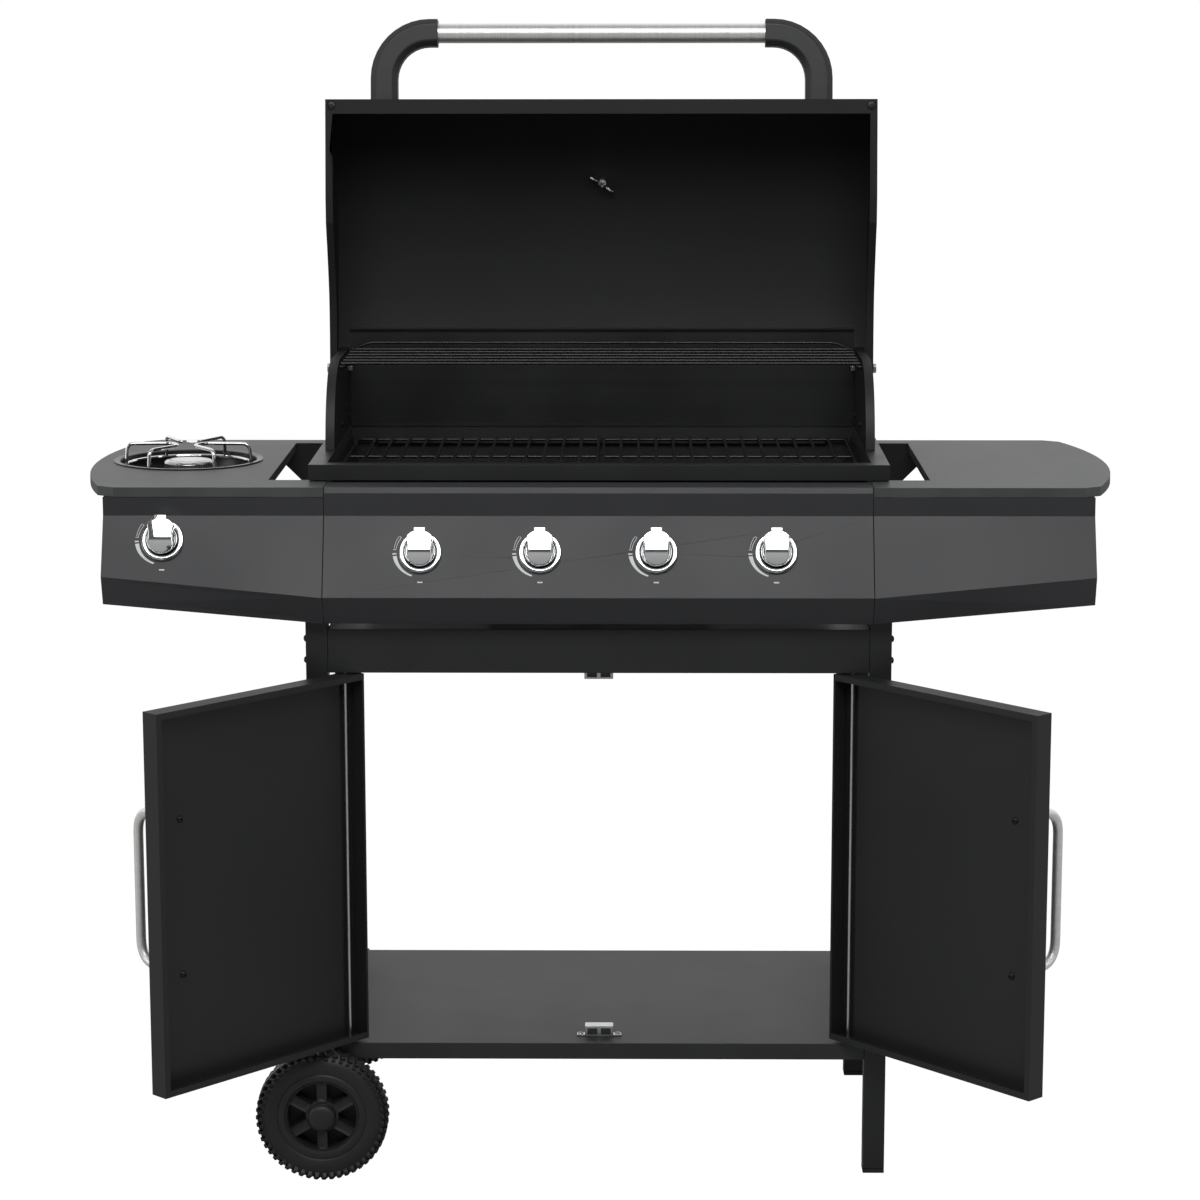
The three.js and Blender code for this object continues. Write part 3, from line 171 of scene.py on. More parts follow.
def facing(point, direction, up=(0, 0, 1)):
    """The matrix that stands a piece made along +Z on a point, along the given direction."""
    z = Vector(direction).normalized()
    x = Vector(up).cross(z)
    x = x.normalized() if x.length > 1e-6 else Vector((1, 0, 0))
    y = z.cross(x)
    turn = Matrix((x, y, z)).transposed().to_4x4()
    return Matrix.Translation(Vector(point)) @ turn


head_radius, head_height = 0.0042, 0.0026
recess_size, recess_z = (0.0042, 0.0009, 0.0022), 0.0024
bpy.ops.mesh.primitive_uv_sphere_add(segments=24, ring_count=12, radius=1)
screw_head = bpy.context.object
screw_head.scale = (head_radius, head_radius, head_height)
alone(screw_head)
bpy.ops.object.transform_apply(scale=True)
bpy.ops.object.mode_set(mode="EDIT")
bpy.ops.mesh.select_all(action="SELECT")
bpy.ops.mesh.bisect(plane_co=(0, 0, 0), plane_no=(0, 0, 1), use_fill=True, clear_inner=True)
bpy.ops.object.mode_set(mode="OBJECT")
for quarter in (0, 1):
    blade = block((0, 0, recess_z), recess_size)
    blade.rotation_euler.z = quarter * math.pi / 2
    modify(screw_head, "BOOLEAN", object=blade, operation="DIFFERENCE")
    bpy.data.objects.remove(blade)
smooth(screw_head, 40)
screw_zinc = coating("screw_zinc", (0.5, 0.5, 0.49), 0.35, metallic=1.0, grain=2500, mottle=0.2,
                     patch=300)
screw_black = coating("screw_black_oxide", (0.02, 0.02, 0.021), 0.35, metallic=0.6, mottle=0.3,
                      patch=400)


def screw(name, point, direction, body, finish=screw_black, size=1.0, height=1.0):
    """A copy of the screw head on a surface."""
    obj = screw_head.copy()
    obj.data = screw_head.data.copy()
    bpy.context.collection.objects.link(obj)
    stand = facing(point, direction, (0.3, 0.5, 0.8))
    obj.data.transform(stand @ Matrix.Diagonal((size, size, size * height, 1)))
    slot = "zinc" if finish == screw_zinc else "black_paint"
    return settle(obj, name, body, finish, slot)


shelf_screw_drop, rail_screw_rise = 0.010, 0.0125
front_screw_inset, front_screw_y, front_screw_gap = 0.014, 0.0135, 0.0012
for side, sign in (("left", -1), ("right", 1)):
    low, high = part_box("front_leg_" + side)
    leg_face = low.x if side == "left" else high.x
    shelf_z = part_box("bottom_shelf")[1].z - shelf_screw_drop
    rail_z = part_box("side_rail_" + side)[0].z + rail_screw_rise
    for row in ("front", "rear"):
        low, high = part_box(f"{row}_leg_{side}")
        y = (low.y + high.y) / 2
        for part, z in (("shelf", shelf_z), ("rail", rail_z)):
            screw(f"{part}_screw_{row}_{side}", (leg_face, y, z), (sign, 0, 0), "cart", screw_zinc, 1.2)
    low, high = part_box("front_rail")
    for part, z in (("upper", high.z - front_screw_inset), ("lower", low.z + front_screw_inset)):
        point = (leg_face + sign * front_screw_gap, low.y + front_screw_y, z)
        screw(f"front_rail_screw_{part}_{side}", point, (sign, 0, 0), "cart")


# ---- Feet, axle and wheels ----------------------------------------------------------------
# The right legs end in moulded caps. On the left a plain steel axle runs through both legs
# and carries two hollow moulded wheels, whose snap-in hub caps hide the axle's ends.
def turned(outline, steps=64, closed=True, crease=35):
    """Spins an outline of (radius, height) points about Z, as on a lathe."""
    bpy.ops.mesh.primitive_circle_add(vertices=len(outline), fill_type="NOTHING")
    obj = bpy.context.object
    alone(obj)
    for vertex, (radius, height) in zip(obj.data.vertices, outline):
        vertex.co = (radius, 0, height)
        vertex.select = False
    bpy.ops.object.mode_set(mode="EDIT")
    bpy.ops.mesh.select_mode(type="EDGE")
    if not closed:
        bpy.ops.object.mode_set(mode="OBJECT")
        for edge in obj.data.edges:
            edge.select = set(edge.vertices) == {0, len(outline) - 1}
        bpy.ops.object.mode_set(mode="EDIT")
        bpy.ops.mesh.delete(type="EDGE")
    bpy.ops.mesh.select_all(action="SELECT")
    bpy.ops.mesh.spin(steps=steps, angle=2 * math.pi, center=(0, 0, 0), axis=(0, 0, 1))
    bpy.ops.mesh.select_all(action="SELECT")
    bpy.ops.mesh.remove_doubles(threshold=1e-6)
    bpy.ops.mesh.normals_make_consistent(inside=False)
    bpy.ops.object.mode_set(mode="OBJECT")
    return smooth(obj, crease)


def both_sides(outline, *middle):
    """An outline of (radius, height) points, any middle points, and the outline mirrored."""
    return [(r, -h) for r, h in outline] + list(middle) + [(r, h) for r, h in reversed(outline)]


def inset(obj, chosen, **sizes):
    """Insets the faces that the test picks."""
    alone(obj)
    bpy.ops.object.mode_set(mode="EDIT")
    bpy.ops.mesh.select_mode(type="FACE")
    bpy.ops.object.mode_set(mode="OBJECT")
    for face in obj.data.polygons:
        face.select = chosen(face)
    bpy.ops.object.mode_set(mode="EDIT")
    bpy.ops.mesh.inset(**sizes)
    bpy.ops.object.mode_set(mode="OBJECT")


def join(objects):
    """Joins finished parts of one moulding into the first of them."""
    alone(objects[0])
    for other in objects[1:]:
        other.select_set(True)
    bpy.ops.object.join()
    return bpy.context.object


def twin(obj, matrix=Matrix.Identity(4)):
    """A copy with its own mesh, moved by a matrix."""
    made = obj.copy()
    made.data = obj.data.copy()
    bpy.context.collection.objects.link(made)
    made.data.transform(matrix)
    return made


foot_rubber = coating("foot_cap_moulding", (0.012, 0.012, 0.012), 0.6, grain=1500, mottle=0.2, patch=60)
dress("foot_cap_front", foot_rubber, 0.0008)
dress("foot_cap_rear", foot_rubber, 0.0008)
axle_zinc = coating("axle_zinc", (0.55, 0.55, 0.54), 0.3, metallic=1.0, grain=300, stretch=(1, 0.02, 1),
                    mottle=0.15)
dress("wheel_axle", axle_zinc, 0.0006, 2, 40)

wheel_plastic = coating("wheel_moulding", (0.0155, 0.0165, 0.016), 0.5, grain=1800, relief=0.00006,
                        mottle=0.12, patch=40)
low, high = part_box("wheel_front")
wheel_radius = (high.z - low.z) / 2
wheel_half = (high.y - low.y) / 2
tread = wheel_radius - 0.0011
tyre_side = [
    (0.0455, wheel_half - 0.003), (0.0475, wheel_half - 0.0005), (0.0500, wheel_half),
    (0.0540, wheel_half - 0.0003), (0.0556, wheel_half - 0.0014), (0.0572, wheel_half - 0.0003),
    (0.0660, wheel_half), (0.0725, wheel_half - 0.0012), (0.0772, wheel_half - 0.0045),
    (tread, wheel_half - 0.0095),
]
tyre = turned([*both_sides(tyre_side, (tread + 0.0004, 0)), (0.0452, 0)], 96)
lug_count, lug_size = 52, (0.0036, 0.0072, 0.0128)
lug_drop, lug_row, lug_lean = 0.0019, 0.0070, 0.3
rib_radius, rib_inset, rib_lean = 0.0738, 0.0030, 0.95
lug = block((0, 0, 0), lug_size)
for vertex in lug.data.vertices:
    if vertex.co.x > 0:
        vertex.co.y *= 0.7
modify(lug, "BEVEL", width=0.0010, segments=3)
smooth(lug, 60)
lugs = []
for shape in ("lug", "rib"):
    for row in (-1, 1):
        if shape == "lug":
            place = Matrix.Translation((wheel_radius - lug_drop, 0, row * lug_row))
            place = place @ Matrix.Rotation(row * lug_lean, 4, "X")
        else:
            place = Matrix.Translation((rib_radius, 0, row * (wheel_half - rib_inset)))
            place = place @ Matrix.Rotation(row * rib_lean, 4, "Y") @ Matrix.Diagonal((0.6, 0.75, 0.95, 1))
        for i in range(lug_count):
            angle = (i + row * 0.25) * 2 * math.pi / lug_count
            lugs.append(twin(lug, Matrix.Rotation(angle, 4, "Z") @ place))
bpy.data.objects.remove(lug)
rim = turned(both_sides([(0.0458, 0.0125), (0.0440, 0.0128), (0.0430, 0.0110)], (0.0428, 0)), 96)
bore = 0.0056
hub_side = [
    (bore, wheel_half + 0.0002), (0.0085, wheel_half + 0.0004), (0.0150, wheel_half - 0.0006),
    (0.0172, wheel_half - 0.0026), (0.0178, wheel_half - 0.0060), (0.0205, wheel_half - 0.0066),
    (0.0210, 0.0060),
]
hub = turned(both_sides(hub_side))
spoke = block((0.032, 0, 0.0015), (0.026, 0.0126, 0.0190))
inset(spoke, lambda face: abs(face.normal.z) > 0.9, thickness=0.0036, depth=-0.0016, use_individual=True)
modify(spoke, "BEVEL", width=0.0005, segments=2, limit_method="ANGLE")
spokes = [twin(spoke, Matrix.Rotation(i * math.pi / 3 + math.pi / 2, 4, "Z")) for i in range(6)]
bpy.data.objects.remove(spoke)
web = turned([(0.020, -0.0140), (0.0435, -0.0140), (0.0435, -0.0118), (0.020, -0.0118)])
wheel = join([tyre, rim, hub, web, *spokes, *lugs])
hub_cap = turned(
    [
        (0.0001, 0.0066), (0.0090, 0.0063), (0.0138, 0.0054), (0.0162, 0.0036), (0.0172, 0.0012),
        (0.0174, -0.0008), (0.0160, -0.0008), (0.0154, 0.0024), (0.0130, 0.0044), (0.0001, 0.0050),
    ],
    closed=False,
)
for name, out in (("front", -1), ("rear", 1)):
    low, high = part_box("wheel_" + name)
    centre = (low + high) / 2
    made = twin(wheel, facing(centre, (0, out, 0)))
    settle(made, "moulded_wheel_" + name, "wheel_" + name, wheel_plastic, "plastic", "wheel_" + name)
    cap = twin(hub_cap, facing((centre.x, centre.y + out * wheel_half, centre.z), (0, out, 0)))
    settle(cap, "hub_cap_" + name, "wheel_" + name, wheel_plastic, "plastic")
bpy.data.objects.remove(wheel)
bpy.data.objects.remove(hub_cap)


# ---- Bottom shelf, side tables -------------------------------------------------------------
# The shelf and the two side tables are pressed from sheet with turned-down edges. Their
# coat is a lighter dark grey with a fine hammered texture that hides scratches.
table_grey = coating("table_grey_textured_powder", (0.062, 0.065, 0.064), 0.5, grain=520,
                     relief=0.00022, mottle=0.14, patch=16, uneven=0.06)
shelf_grey = coating("shelf_grey_textured_powder", (0.024, 0.0252, 0.025), 0.56, grain=520,
                     relief=0.00022, mottle=0.14, patch=12, uneven=0.06)
dress("bottom_shelf", shelf_grey, 0.0010, 3)
dress("side_table_left", table_grey, 0.0012, 3)
dress("side_table_right", table_grey, 0.0012, 3)


# ---- Control panel and side fascias --------------------------------------------------------
# The folded front sheets are coated charcoal. Each has two long creases, which the press
# leaves with a small radius, and the fascias are screwed to the ends of the panel.
panel_charcoal = coating("panel_charcoal_powder", (0.0285, 0.0294, 0.0325), 0.46, grain=800,
                         relief=0.00008, mottle=0.07, patch=6)
for name in ("control_panel", "side_fascia_left", "side_fascia_right"):
    dress(name, panel_charcoal, 0.0011, 3)


# ---- Burner knobs, bezels and printed dials ------------------------------------------------
# Each valve has a chromed knob with a waisted grip and a pointer, in a chromed ring that is
# fixed to the panel. Beside the ring the panel is printed in white: a narrow outline, a
# tick, a wedge that thins towards low, and a short bar.
chrome = coating("chrome_plate", (0.83, 0.84, 0.85), 0.07, metallic=1.0, grain=400, relief=0.00001,
                 mottle=0.03, patch=30, uneven=0.03)
print_white = coating("printed_white", (0.75, 0.76, 0.76), 0.5, grain=2500, relief=0.00001,
                      mottle=0.05, patch=200)

grip_outline = [
    (-0.0076, 0.0265), (0.0076, 0.0265), (0.0071, 0.0218), (0.0110, 0.0203), (0.0152, 0.0168),
    (0.0168, 0.0138), (0.0158, 0.0095), (0.0149, 0.0040), (0.0146, -0.0015), (0.0150, -0.0065),
    (0.0148, -0.0105), (0.0128, -0.0145), (0.0090, -0.0172), (0.0045, -0.0186), (0.0000, -0.0190),
]
grip_outline += [(-x, y) for x, y in reversed(grip_outline[2:-1])]
grip_base, grip_height, slope_start, slope_length, slope_drop = 0.0060, 0.0150, -0.0035, 0.0155, 0.0115
bpy.ops.mesh.primitive_circle_add(vertices=len(grip_outline), fill_type="NGON")
grip = bpy.context.object
for vertex, (x, y) in zip(grip.data.vertices, grip_outline):
    vertex.co = (x, y, grip_base)
alone(grip)
bpy.ops.object.mode_set(mode="EDIT")
bpy.ops.mesh.select_mode(type="FACE")
bpy.ops.mesh.select_all(action="SELECT")
bpy.ops.mesh.extrude_region_move(TRANSFORM_OT_translate={"value": (0, 0, grip_height)})
bpy.ops.transform.resize(value=(0.97, 0.985, 1), center_override=(0, 0, 0))
for row in (slope_start, -0.0060, -0.0085, -0.0110, -0.0135, -0.0160):
    bpy.ops.mesh.select_all(action="SELECT")
    bpy.ops.mesh.bisect(plane_co=(0, row, 0), plane_no=(0, 1, 0))
bpy.ops.mesh.select_all(action="SELECT")
bpy.ops.mesh.normals_make_consistent(inside=False)
bpy.ops.object.mode_set(mode="OBJECT")
for vertex in grip.data.vertices:
    if vertex.co.z > grip_base + grip_height / 2:
        down = min(1, max(0, (slope_start - vertex.co.y) / slope_length))
        vertex.co.z -= slope_drop * down ** 1.3
modify(grip, "BEVEL", width=0.0012, segments=3, limit_method="ANGLE", angle_limit=math.radians(40))
smooth(grip, 35)
skirt = turned(
    [
        (0.0001, 0.0078), (0.0120, 0.0080), (0.0160, 0.0074), (0.0178, 0.0058), (0.0186, 0.0036),
        (0.0188, 0.0010), (0.0184, 0.0000), (0.0001, 0.0000),
    ],
    closed=False,
)
spindle_radius, spindle_length = 0.0039, 0.0350
spindle = turned(
    [
        (0.0001, 0.0001), (spindle_radius, 0.0001), (spindle_radius, -spindle_length),
        (0.0001, -spindle_length),
    ],
    24, closed=False,
)
knob = join([skirt, grip, spindle])
bezel = turned(
    [
        (0.0200, 0.0000), (0.0200, 0.0036), (0.0205, 0.0050), (0.0214, 0.0056), (0.0232, 0.0058),
        (0.0248, 0.0055), (0.0258, 0.0044), (0.0263, 0.0022), (0.0264, 0.0000),
    ],
    96,
)
# The well is a near-black disc laid on the panel inside the ring: painted shade for the shade that falls
# under the knob, between the grip and the ring.
well = turned([(0.0050, 0.0006), (0.0202, 0.0006), (0.0202, 0.0001), (0.0050, 0.0001)])
well_shadow = coating("bezel_well_painted_shade", (0.008, 0.008, 0.008), 0.4, mottle=0.2, patch=200)


def arc_band(inner, outer, start, end, steps=24):
    """A flat printed band between two angles, in degrees; each radius may be a (first, last) pair."""
    bpy.ops.mesh.primitive_grid_add(x_subdivisions=steps, y_subdivisions=1, size=1)
    band = bpy.context.object
    for vertex in band.data.vertices:
        along = vertex.co.x + 0.5
        angle = math.radians(start + (end - start) * along)
        near = inner[0] + (inner[1] - inner[0]) * along
        far = outer[0] + (outer[1] - outer[0]) * along
        radius = far if vertex.co.y > 0 else near
        vertex.co = (radius * math.cos(angle), radius * math.sin(angle), 0.00012)
    alone(band)
    bpy.ops.object.mode_set(mode="EDIT")
    bpy.ops.mesh.select_all(action="SELECT")
    bpy.ops.mesh.normals_make_consistent(inside=False)
    bpy.ops.object.mode_set(mode="OBJECT")
    modify(band, "SOLIDIFY", thickness=0.0001, offset=0)
    return band


def upright(seat, out):
    """The matrix that stands a piece made along +Z on a sloping seat, with its +X level."""
    level = Vector((1, 0, 0))
    up = out.cross(level).normalized()
    return Matrix.Translation(seat) @ Matrix((level, up, out)).transposed().to_4x4()


print_parts = [
    arc_band((0.0290, 0.0295), (0.0340, 0.0312), 187, 251),
    arc_band((0.0292, 0.0292), (0.0342, 0.0342), 180.5, 183.5, 4),
    arc_band((0.0300, 0.0300), (0.0306, 0.0306), 140, 172, 12),
    arc_band((0.0332, 0.0322), (0.0338, 0.0328), 142, 170, 12),
    arc_band((0.0300, 0.0300), (0.0338, 0.0338), 172, 173.2, 3),
    arc_band((0.0300, 0.0300), (0.0330, 0.0330), 140, 141.2, 3),
    arc_band((0.0362, 0.0362), (0.0378, 0.0378), 265, 275, 6),
]
dial_print = join(print_parts)

knob_rise = 0.006
for valve in [j for j in frame["joints"] if j["name"].endswith("_turn")]:
    node = valve["child"]
    stand = upright(Vector(valve["pos_m"]), Vector(valve["axis"]))
    made = twin(knob, stand @ Matrix.Translation((0, 0, knob_rise)))
    settle(made, node + "_chromed", node, chrome, "chrome", node)
    settle(twin(bezel, stand), node + "_bezel", "cart", chrome, "chrome")
    settle(twin(well, stand), node + "_bezel_well", "cart", well_shadow, "black_paint")
    settle(twin(dial_print, stand), node + "_print", "cart", print_white, "table_paint")
for spare in (knob, bezel, well, dial_print):
    bpy.data.objects.remove(spare)


# ---- Firebox, hood ends and back panel -----------------------------------------------------
# The firebox is a pressed tub with a folded rim, and the hood ends and the back panel are
# fixed to it. They are enamelled or coated in heat-proof black, which is a little glossier
# than the frame and dulls in cloudy patches where it gets hot.
fire_black = coating("firebox_heatproof_black", (0.0150, 0.0158, 0.0160), 0.42, grain=600,
                     relief=0.00009, mottle=0.25, patch=7, uneven=0.12)
dress("firebox", fire_black, 0.0006)
hood_black = coating("hood_end_black_powder", (0.0085, 0.0090, 0.0090), 0.55, relief=0.00008,
                     mottle=0.15, patch=12)
dress("hood_end_left", hood_black, 0.0016, 3, 25)
dress("hood_end_right", hood_black, 0.0016, 3, 25)
dress("back_panel", fire_black, 0.0006)
bolt_zinc = coating("bolt_zinc", (0.55, 0.55, 0.53), 0.28, metallic=1.0, grain=1200, mottle=0.2, patch=150)
dress("lid_hinge_bolt_left", bolt_zinc, 0.0005)
dress("lid_hinge_bolt_right", bolt_zinc, 0.0005)
end_screw_rise, panel_screw_rise, panel_screw_pitch = 0.018, 0.012, 0.20
for side, sign in (("left", -1), ("right", 1)):
    low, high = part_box("hood_end_" + side)
    inner_x = high.x if side == "left" else low.x
    for part, y in (("front", high.y - 0.130), ("rear", high.y - 0.030)):
        screw(f"hood_end_screw_{part}_{side}", (inner_x, y, low.z + end_screw_rise), (-sign, 0, 0), "cart")
low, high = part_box("back_panel")
for i in range(4):
    point = ((i - 1.5) * panel_screw_pitch, high.y, low.z + panel_screw_rise)
    screw(f"back_panel_screw_{i + 1}", point, (0, 1, 0), "cart", screw_zinc)


# ---- Burners, heat tents and gas train ----------------------------------------------------
# Four drilled steel tubes lie front to back under folded tents. The tubes turn straw and
# blue with heat. The gas rail and its valves are cast and drawn brass.
burner_steel = coating("burner_heated_steel", (0.42, 0.36, 0.30), 0.38, metallic=1.0, grain=500,
                       mottle=0.35, patch=22, uneven=0.12)
tent_enamel = coating("heat_tent_enamel", (0.014, 0.014, 0.014), 0.3, grain=900, relief=0.00012,
                      mottle=0.3, patch=30)
brass = coating("gas_train_brass", (0.52, 0.38, 0.16), 0.32, metallic=1.0, grain=900, mottle=0.15,
                patch=50)
for i in range(1, 5):
    dress(f"burner_tube_{i}", burner_steel, 0.0005, 2, 30)
    dress(f"heat_tent_{i}", tent_enamel, 0.0005)
dress("gas_manifold", brass, 0.0004, 2, 50)

port_radius, port_count, port_start, port_pitch, port_lean = 0.0011, 22, 0.050, 0.0125, math.radians(62)
bpy.ops.mesh.primitive_cylinder_add(vertices=12, radius=port_radius, depth=0.0006)
port = bpy.context.object
inset(port, lambda face: face.normal.z > 0.9, thickness=0.0003, depth=-0.0004)
# Each port is a small dark cup on the tube in place of a drilled hole. Its near-black colour is partly soot
# and partly painted shade for the inside of the hole.
port_soot_and_shade = coating("burner_port_soot_and_painted_shade", (0.004, 0.004, 0.004), 0.9, mottle=0.2)
for i in range(1, 5):
    low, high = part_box(f"burner_tube_{i}")
    centre, radius = (low + high) / 2, (high.z - low.z) / 2
    ports = []
    for side in (-1, 1):
        direction = Vector((side * math.sin(port_lean), 0, math.cos(port_lean)))
        for k in range(port_count):
            middle = Vector((centre.x, low.y + port_start + k * port_pitch, centre.z))
            ports.append(twin(port, facing(middle + direction * (radius * 0.985), direction)))
    settle(join(ports), f"burner_ports_{i}", "cart", port_soot_and_shade, "steel")
bpy.data.objects.remove(port)


# ---- Cooking grates -----------------------------------------------------------------------
# Two grates of enamelled round wire lie side by side: bars front to back, welded on top
# of three cross rods. The bars' ends stand free and are rounded by the enamel.
def bent_wire(points, thickness, bend=0.006, steps=5, sides=3):
    """A round wire or tube through the given corners, each corner an even bend."""
    corners = [Vector(p) for p in points]
    route = [corners[0]]
    for before, corner, after in zip(corners, corners[1:], corners[2:]):
        a = corner + (before - corner).normalized() * min(bend, (before - corner).length / 2)
        b = corner + (after - corner).normalized() * min(bend, (after - corner).length / 2)
        for k in range(steps + 1):
            t = k / steps
            route.append(a * (1 - t) ** 2 + corner * 2 * t * (1 - t) + b * t ** 2)
    route.append(corners[-1])
    line = bpy.data.curves.new("wire", "CURVE")
    line.dimensions = "3D"
    line.bevel_depth = thickness / 2
    line.bevel_resolution = sides
    line.use_fill_caps = True
    spline = line.splines.new("POLY")
    spline.points.add(len(route) - 1)
    for point, place in zip(spline.points, route):
        point.co = (*place, 1)
    obj = bpy.data.objects.new("wire", line)
    bpy.context.collection.objects.link(obj)
    alone(obj)
    bpy.ops.object.convert(target="MESH")
    obj = bpy.context.object
    alone(obj)
    bpy.ops.object.mode_set(mode="EDIT")
    bpy.ops.mesh.select_all(action="SELECT")
    bpy.ops.mesh.remove_doubles(threshold=1e-6)
    bpy.ops.mesh.normals_make_consistent(inside=False)
    bpy.ops.object.mode_set(mode="OBJECT")
    return smooth(obj, 50)


grate_enamel = coating("grate_enamel", (0.016, 0.016, 0.016), 0.25, grain=1200, relief=0.0001, mottle=0.3,
                       patch=60, uneven=0.1)
wire, bar_pitch, end_drop, end_length = 0.004, 0.023, 0.0012, 0.004
for side in ("left", "right"):
    low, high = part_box("cooking_grate_" + side)
    top = high.z - wire / 2
    under = top - wire * 0.8
    count = int((high.x - low.x - wire) / bar_pitch)
    bars = []
    for i in range(count + 1):
        x = low.x + wire / 2 + i * (high.x - low.x - wire) / count
        route = [(x, low.y, top - end_drop), (x, low.y + end_length, top), (x, high.y - end_length, top),
                 (x, high.y, top - end_drop)]
        bars.append(bent_wire(route, wire, 0.002, 2))
    for y in (low.y + 0.006, (low.y + high.y) / 2 - 0.004, high.y - 0.006):
        bars.append(bent_wire([(low.x, y, under), (high.x, y, under)], wire))
    settle(join(bars), "grate_of_wire_" + side, "cart", grate_enamel, "enamel", "cooking_grate_" + side)


# ---- Warming rack -------------------------------------------------------------------------
# A black enamelled wire shelf above the back of the grates. Its pegs sit in holes in the hood
# ends, and a raised rail keeps food from sliding off the back.
rack_enamel = coating("rack_enamel", (0.013, 0.013, 0.013), 0.28, grain=1200, relief=0.0001,
                      mottle=0.3, patch=60, uneven=0.1)
low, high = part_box("warming_rack")
wire_z = low.z + 0.010
front, back = low.y + 0.003, high.y - 0.003
rack_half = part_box("hood_end_right")[0].x - 0.005
peg_end, peg_drop = high.x - 0.0003, 0.008
rail_rise, rail_run = 0.009, 0.020
rack = []
for i in range(6):
    y = front + i * (back - front) / 5
    rack.append(bent_wire([(-rack_half, y, wire_z), (rack_half, y, wire_z)], wire))
for sign in (-1, 1):
    x = sign * (rack_half - 0.003)
    rack.append(bent_wire([(x, front - 0.003, wire_z - 0.003), (x, back + 0.003, wire_z - 0.003)], wire))
    for y in (front + 0.030, back - 0.040):
        peg = [(x, y, wire_z - 0.002), (x, y, wire_z - peg_drop), (sign * peg_end, y, wire_z - peg_drop)]
        rack.append(bent_wire(peg, wire, 0.003))
rail_half = rack_half - 0.002
rail = [(-rail_half, back, wire_z), (-rail_half + rail_run, back, wire_z + rail_rise),
        (rail_half - rail_run, back, wire_z + rail_rise), (rail_half, back, wire_z)]
rack.append(bent_wire(rail, wire, 0.010))
settle(join(rack), "warming_rack_of_wire", "cart", rack_enamel, "enamel", "warming_rack")


# ---- Side burner --------------------------------------------------------------------------
# A pressed black bowl drops into the left table. The burner head is a fluted aluminium
# ring under a bright steel cap, and three bent chromed wires on a ring hold the pan.
def stand_over(obj, centre):
    """Moves a piece turned about the origin's axis over to the given point."""
    obj.data.transform(Matrix.Translation((centre.x, centre.y, 0)))
    return obj


bowl_black = coating("side_bowl_black", (0.012, 0.012, 0.0125), 0.3, grain=900, mottle=0.2, patch=25)
low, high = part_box("side_burner_bowl")
centre = (low + high) / 2
top = high.z - 0.0014
radius = (high.x - low.x) / 2 - 0.005
bowl = turned(
    [
        (0.022, top - 0.0340), (radius - 0.0110, top - 0.0340), (radius - 0.0050, top - 0.0320),
        (radius - 0.0020, top - 0.0270), (radius - 0.0015, top - 0.0010), (radius + 0.0000, top),
        (radius + 0.0050, top), (radius + 0.0052, top + 0.0007), (radius + 0.0046, top + 0.0014),
        (radius - 0.0010, top + 0.0014), (radius - 0.0030, top + 0.0002), (radius - 0.0035, top - 0.0260),
        (radius - 0.0065, top - 0.0302), (radius - 0.0120, top - 0.0325), (0.022, top - 0.0325),
    ],
    96,
)
stand_over(bowl, centre)
settle(bowl, "side_burner_pressed_bowl", "cart", bowl_black, "black_paint", "side_burner_bowl")

head_steel = coating("burner_cap_steel", (0.62, 0.62, 0.60), 0.22, metallic=1.0, grain=300,
                     mottle=0.06, patch=40)
head_cast = coating("burner_ring_cast", (0.36, 0.36, 0.35), 0.42, metallic=1.0, grain=1500,
                    relief=0.0002, mottle=0.2, patch=90)
low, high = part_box("side_burner_head")
top = high.z
fluted, ring_depth, ring_drop = 96, 0.0120, 0.0095
bpy.ops.mesh.primitive_cylinder_add(vertices=fluted, radius=0.0310, depth=ring_depth,
                                    location=(0, 0, top - ring_drop))
ring = bpy.context.object
alone(ring)
bpy.ops.object.transform_apply(location=True)


def is_flute(face):
    """Picks every second face of the ring's side."""
    turn = (math.atan2(face.center.y, face.center.x) + math.pi) / (2 * math.pi)
    return abs(face.normal.z) < 0.1 and int(round(turn * fluted - 0.5)) % 2 == 0


inset(ring, is_flute, thickness=0.00025, depth=-0.0022, use_individual=True)
stem = turned(
    [
        (0.0001, top - 0.061), (0.0120, top - 0.061), (0.0120, top - 0.037), (0.0200, top - 0.031),
        (0.0200, top - 0.019), (0.0280, top - 0.0150), (0.0001, top - 0.0150),
    ],
    48, closed=False,
)
head = stand_over(join([ring, stem]), centre)
settle(head, "side_burner_fluted_ring", "cart", head_cast, "steel", "side_burner_head")
cap = turned(
    [
        (0.0001, top + 0.0006), (0.0200, top + 0.0004), (0.0285, top - 0.0006), (0.0308, top - 0.0020),
        (0.0316, top - 0.0036), (0.0306, top - 0.0044), (0.0001, top - 0.0044),
    ],
    96, closed=False,
)
settle(stand_over(cap, centre), "side_burner_cap", "cart", head_steel, "steel")

low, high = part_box("side_burner_pot_support")
wire = 0.0046
ring_z, arm_z = low.z + wire / 2, high.z - wire / 2 - 0.0002
ring_radius = (high.x - low.x - wire) / 2
arm_radius, tip_radius = ring_radius - 0.002, 0.022
half_route = [(0.5, ring_radius, ring_z), (0.5, arm_radius, arm_z), (0.6, tip_radius, arm_z)]
arms = []
for i in range(3):
    middle = i * 2 * math.pi / 3 + math.pi / 2
    route = []
    for spread, reach, z in [(-turn, r, z) for turn, r, z in half_route] + half_route[::-1]:
        angle = middle + spread
        route.append((centre.x + reach * math.cos(angle), centre.y + reach * math.sin(angle), z))
    arms.append(bent_wire(route, wire, 0.009, 6))
circle = [k * math.pi / 5 for k in range(10)]
loop = turned([(ring_radius + math.cos(a) * wire / 2, ring_z + math.sin(a) * wire / 2) for a in circle], 96)
stand_over(loop, centre)
settle(join([loop, *arms]), "pot_support_of_wire", "cart", chrome, "chrome", "side_burner_pot_support")


